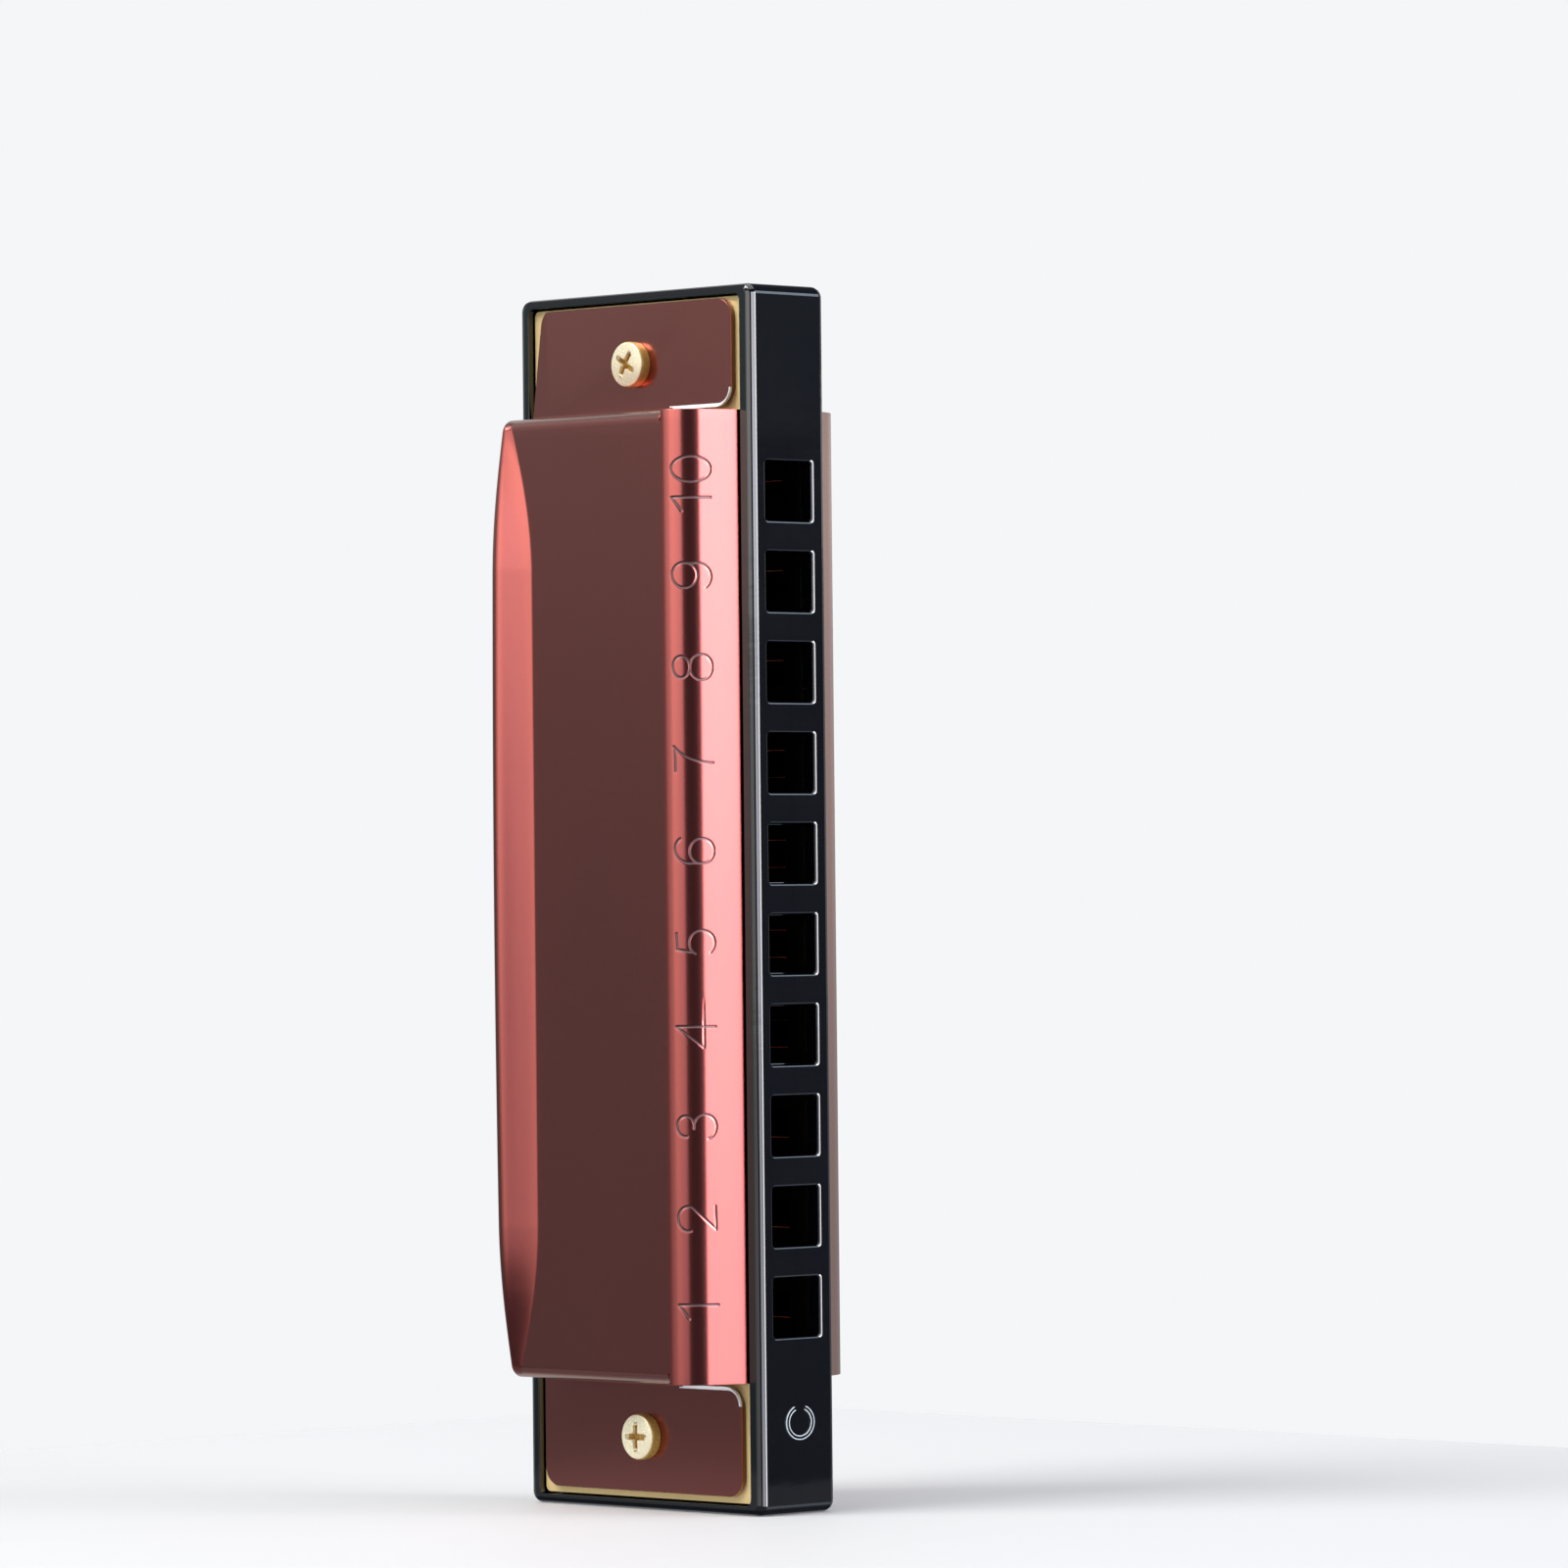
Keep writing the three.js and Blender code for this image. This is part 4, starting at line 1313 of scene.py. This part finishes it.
@dataclass
class Rivet:
    """A small brass rivet with a flat tail and a domed head."""

    shank_radius: float = 0.5
    head_radius: float = 0.95
    head_height: float = 0.38
    tail_height: float = 0.25
    edge: float = 0.12
    tilt: float = 22.0

    def build(self) -> None:
        """Makes one rivet and copies it to each reed."""
        low, high = box_mm("draw_rivet_1")
        length = high.x - low.x
        rivet = Workpiece.point("rivet_master", ORIGIN)
        rivet.trace(Y * (self.head_radius - self.tail_height), (X + Y) * self.tail_height,
                    Y * (self.shank_radius - self.head_radius),
                    X * (length - self.tail_height - self.head_height),
                    Y * (self.head_radius - self.shank_radius))
        seat = X * (length - self.head_height)
        rivet.head(seat, self.head_radius, self.head_height, self.edge, self.tilt)
        rivet.smooth(angle=35)
        for node in nodes_named("_rivet_"):
            one = rivet.copy(f"{node}_set")
            one.move(middle_mm(node, box_mm(node)[0].x))
            one.finish(RIVET, "rivet", node)
        bpy.data.objects.remove(rivet.object)


@dataclass
class Reed:
    """A brass reed: a thick pad with cut corners, and a tongue filed thin along its middle."""

    pad_length: float = 3.0
    pad_corner: float = 0.45
    tongue_thickness: float = 0.25
    tongue_width: float = 2.24
    edge_break: float = 0.03
    filing: tuple[float, ...] = (0.85, 0.88, 0.98, 1.1, 1.1)

    def shape(self, node: str) -> Workpiece:
        """Shapes one reed to its node's box.

        Args:
            node: The reed's node.

        Returns:
            The reed.
        """
        low, high = box_mm(node)
        end, tip, towards = (low.y, high.y, 1) if node.startswith("blow") else (high.y, low.y, -1)
        root = end + towards * self.pad_length
        middle = (low.z + high.z) / 2
        pad = Workpiece.cube(f"{node}_filed", Vector((low.x, end, low.z)), Vector((high.x, root, high.z)))
        pad.round_along(X, self.pad_corner, segments=1)
        half = Z * (self.tongue_width / 2)
        tongue = Workpiece.cube("tongue", Vector((low.x, (end + root) / 2, middle)) - half,
                                Vector((low.x + self.tongue_thickness, root, middle)) + half)
        tongue.pick(Part.FACE, lambda place, normal: normal.y * towards > ALIGNED)
        for thinning in self.filing:
            tongue.trace(Y * (tip - root) / len(self.filing))
            tongue.stretch((thinning, 1, 1), Vector((low.x, 0, middle)))
        pad.combine(tongue, "UNION")
        return pad

    def build(self) -> None:
        """Makes the twenty reeds, each on its own body."""
        for node in nodes_named("_reed_"):
            if "plate" not in node:
                reed = self.shape(node)
                reed.soften(self.edge_break, angle=30)
                reed.smooth(angle=30)
                reed.finish(REED, "reed", node, body=node)


@dataclass
class KeyLetter:
    """The raised letter for the key on the comb's front: a dark stroke between two edges painted pale as
    their highlights.
    """

    middle: Pair = (0.155, 7.59)
    radius: float = 1.64
    height_share: float = 1.45 / 1.64
    stroke: float = 0.4
    edge: float = 0.085
    raised: float = 0.08
    edge_raised: float = 0.12
    sunk: float = 0.05
    opening: float = math.radians(48)

    def ring(self, name: str, outer: float, width: float, raised: float) -> Workpiece:
        """Spins a stroke round the letter, from one side of its opening to the other.

        Args:
            name: The piece's name.
            outer: The stroke's outer radius.
            width: Its width.
            raised: How far it stands up.

        Returns:
            The closed stroke about the origin.
        """
        start = QUARTER_TURN - self.opening / 2
        out = Vector((math.cos(start), 0, math.sin(start)))
        up = -Y * (raised + self.sunk)
        ring = Workpiece.point(name, out * (outer - width) + Y * (COMB_LOW.y + self.sunk))
        ring.trace(up, out * width, -up, -out * width)
        ring.weld(NEAR / 2)
        ring.spin(ORIGIN, Y, FULL_TURN - self.opening, steps=48)
        ring.cap()
        return ring

    def build(self) -> None:
        """Makes the stroke and its two edges, each drawn out to the letter's proportions."""
        inner = self.radius - self.stroke + self.edge
        for name, outer, width, raised, finish in (
                ("key_letter", self.radius, self.stroke, self.raised, COMB),
                # The edge rings take the pale finish painted as their highlights
                ("key_letter_outer_edge", self.radius, self.edge, self.edge_raised, LETTER_EDGE_HIGHLIGHT),
                ("key_letter_inner_edge", inner, self.edge, self.edge_raised, LETTER_EDGE_HIGHLIGHT)):
            ring = self.ring(name, outer, width, raised)
            ring.edit()
            ring.stretch((1, 1, self.height_share))
            ring.move(Vector((self.middle[0], 0, self.middle[1])))
            ring.soften(self.edge / 3, angle=50)
            ring.smooth(angle=50)
            ring.finish(finish, "comb")


@dataclass(frozen=True)
class Lamp:
    """A soft rectangular light that looks at a point."""

    name: str
    place: Vector
    aim: Vector
    width: float
    height: float
    radiance: float
    tone: Triple = (1.0, 1.0, 1.0)

    def build(self) -> None:
        """Adds the light, unseen by the camera itself."""
        light = bpy.data.lights.new(self.name, "AREA")
        light.shape = "RECTANGLE"
        light.size = self.width
        light.size_y = self.height
        light.energy = self.radiance * math.pi * self.width * self.height
        light.color = self.tone
        lamp = bpy.data.objects.new(self.name, light)
        bpy.context.scene.collection.objects.link(lamp)
        lamp.location = self.place
        lamp.rotation_euler = (self.place - self.aim).to_track_quat("Z", "Y").to_euler()
        lamp.visible_camera = False


@dataclass
class Studio:
    """A pale floor, soft lights and the camera at the photograph's angle."""

    place: Triple = (-0.483633, -0.505167, 0.051941)
    aim: Triple = (0.70090, 0.71316, 0.01219)
    upright: Triple = (-0.00137, -0.01575, 0.99987)
    lens: float = 191.37
    pale: Triple = (0.91, 0.92, 0.94)
    dim: Triple = (0.055, 0.06, 0.075)
    white: Triple = (1.0, 1.0, 1.0)
    warm: Triple = (1.0, 0.98, 0.95)
    teal: Triple = (0.75, 1.0, 0.97)
    blue: Triple = (0.8, 0.95, 1.1)
    levels: tuple[float, ...] = (-0.2, 0.02, 0.11, 0.57)
    distance: float = 1.2
    table: float = 0.2
    table_tone: Triple = (0.62, 0.63, 0.64)

    def camera(self) -> None:
        """Adds the camera."""
        camera = bpy.data.cameras.new("photo_camera")
        camera.lens = self.lens
        camera.sensor_width = 36
        camera.clip_start = 0.01
        camera.clip_end = 50
        holder = bpy.data.objects.new("photo_camera", camera)
        bpy.context.scene.collection.objects.link(holder)
        back = -Vector(self.aim).normalized()
        right = Vector(self.upright).cross(back).normalized()
        turn = Matrix((right, back.cross(right), back)).transposed()
        holder.matrix_world = Matrix.Translation(self.place) @ turn.to_4x4()
        bpy.context.scene.camera = holder

    def world(self) -> None:
        """Makes the surroundings pale to the camera and dimmer to everything else."""
        world = bpy.data.worlds.new("studio")
        world.use_nodes = True
        world.node_tree.nodes.clear()
        bench = NodeBench(world.node_tree)
        room, seen = (bench.add("Background", {"Color": (*tone, 1)}).outputs["Background"]
                      for tone in (self.dim, self.pale))
        camera_ray = bench.add("LightPath", {}).outputs["Is Camera Ray"]
        mix = bench.add("MixShader", {0: camera_ray, 1: room, 2: seen})
        bench.add("OutputWorld", {"Surface": mix.outputs["Shader"]})
        bpy.context.scene.world = world

    def floor(self) -> None:
        """Lays a small pale table top under the object."""
        clear_bench()
        bpy.ops.mesh.primitive_plane_add(size=self.table, location=(0, 0, 0))
        top = bpy.context.active_object
        top.name = "table_top"
        made = bpy.data.materials.new("pale_table")
        made.use_nodes = True
        NodeBench(made.node_tree).fill(made.node_tree.nodes["Principled BSDF"], {
            "Base Color": (*self.table_tone, 1), "Roughness": 0.6,
            "Emission Color": (*self.pale, 1), "Emission Strength": 0.05})
        top.data.materials.append(made)
        top.visible_glossy = False

    def stack(self, name: str, bearing: float, breadth: float, radiances: tuple[float, ...],
              tone: Triple, levels: tuple[float, ...]) -> list[Lamp]:
        """Gives an upright light whose brightness changes with its height.

        Args:
            name: The light's name.
            bearing: Where it stands, in degrees from -X towards -Y.
            breadth: How wide it looks from the object, in degrees.
            radiances: How bright each level looks, from the lowest.
            tone: Its colour.
            levels: The heights where its levels meet.

        Returns:
            One lamp for each level.
        """
        turn = math.radians(bearing)
        foot = Vector((-math.cos(turn), -math.sin(turn), 0)) * self.distance
        width = 2 * self.distance * math.tan(math.radians(breadth) / 2)
        lamps = []
        for index, ((low, high), radiance) in enumerate(zip(pairwise(levels), radiances), 1):
            middle = Z * (low + high) / 2
            lamps.append(Lamp(f"{name}_{index}", foot + middle, middle, width, high - low, radiance, tone))
        return lamps

    def build(self) -> None:
        """Sets up the camera, the floor and the lights."""
        self.camera()
        self.world()
        self.floor()
        for lamp in (
                *self.stack("left_softbox_fade", -36, 12, (0.12, 0.16, 0.25), self.white, self.levels),
                *self.stack("left_softbox_edge", -21, 18, (0.40, 0.50, 1.1), self.white, self.levels),
                *self.stack("left_softbox", -2.5, 21, (0.70, 1.05, 1.95), (1.0, 0.98, 0.93), self.levels),
                *self.stack("middle_softbox", 18, 20, (0.54, 0.85, 1.75), (1.0, 1.0, 1.05), self.levels),
                *self.stack("front_softbox", 100, 26, (2.9, 3.9, 5.5), (1.0, 1.0, 1.13),
                            (-0.4, 0.02, 0.11, 0.7)),
                *self.stack("edge_strip", 120, 12, (13.0,), self.white, (-0.4, 0.7)),
                *self.stack("side_panel", -62, 40, (0.087, 0.16, 0.28), self.teal,
                            (-0.5, 0.12, 0.16, 0.45)),
                *self.stack("side_panel_top", -47, 62, (0.22,), self.white, (0.45, 1.3)),
                *self.stack("front_panel_low", 143, 28, (0.5,), self.blue, (-0.8, -0.42)),
                *self.stack("front_panel", 143, 28, (0.04, 2.2), self.blue, (0.15, 0.42, 0.8)),
                *self.stack("back_panel", 188, 44, (0.27, 0.4, 0.8, 0.25), self.white,
                            (-0.5, 0.03, 0.125, 0.17, 0.9)),
                *self.stack("rear_panel", -112, 66, (0.3, 0.45, 0.5), self.white,
                            (-1.3, -0.3, 0.3, 1.3)),
                Lamp("high_window", Vector((-0.725, 0.264, 0.92)), ORIGIN, 0.6, 0.6, 10.0, self.warm),
                Lamp("ceiling", Z * 1.1, ORIGIN, 1.4, 1.4, 1.5),
                Lamp("table_bounce", Z * 0.0005, Z, 0.07, 0.07, 0.12)):
            lamp.build()
        bpy.context.scene.view_settings.view_transform = "Standard"


def main() -> None:
    """Builds the sub-assemblies in order and reports each piece."""
    logging.basicConfig(level=logging.INFO, format="%(asctime)s %(message)s")
    Studio().build()
    Comb().build()
    for side in Side:
        cover = PressedCover(side)
        cover.build()
        RolledEdge(cover).build()
        ReedPlate(side).build()
    Screw("cover_screw", GOLD, Recess.CROSS).build()
    Screw("plate_screw", NICKEL, Recess.SLOT, head_radius=1.3, head_height=0.7, edge=0.2, tilt=20,
          shank_radius=0.6, point=0.4, recess_length=1.5, recess_width=0.35, recess_depth=0.35).build()
    Rivet().build()
    Reed().build()
    KeyLetter().build()


if __name__ == "__main__":
    main()
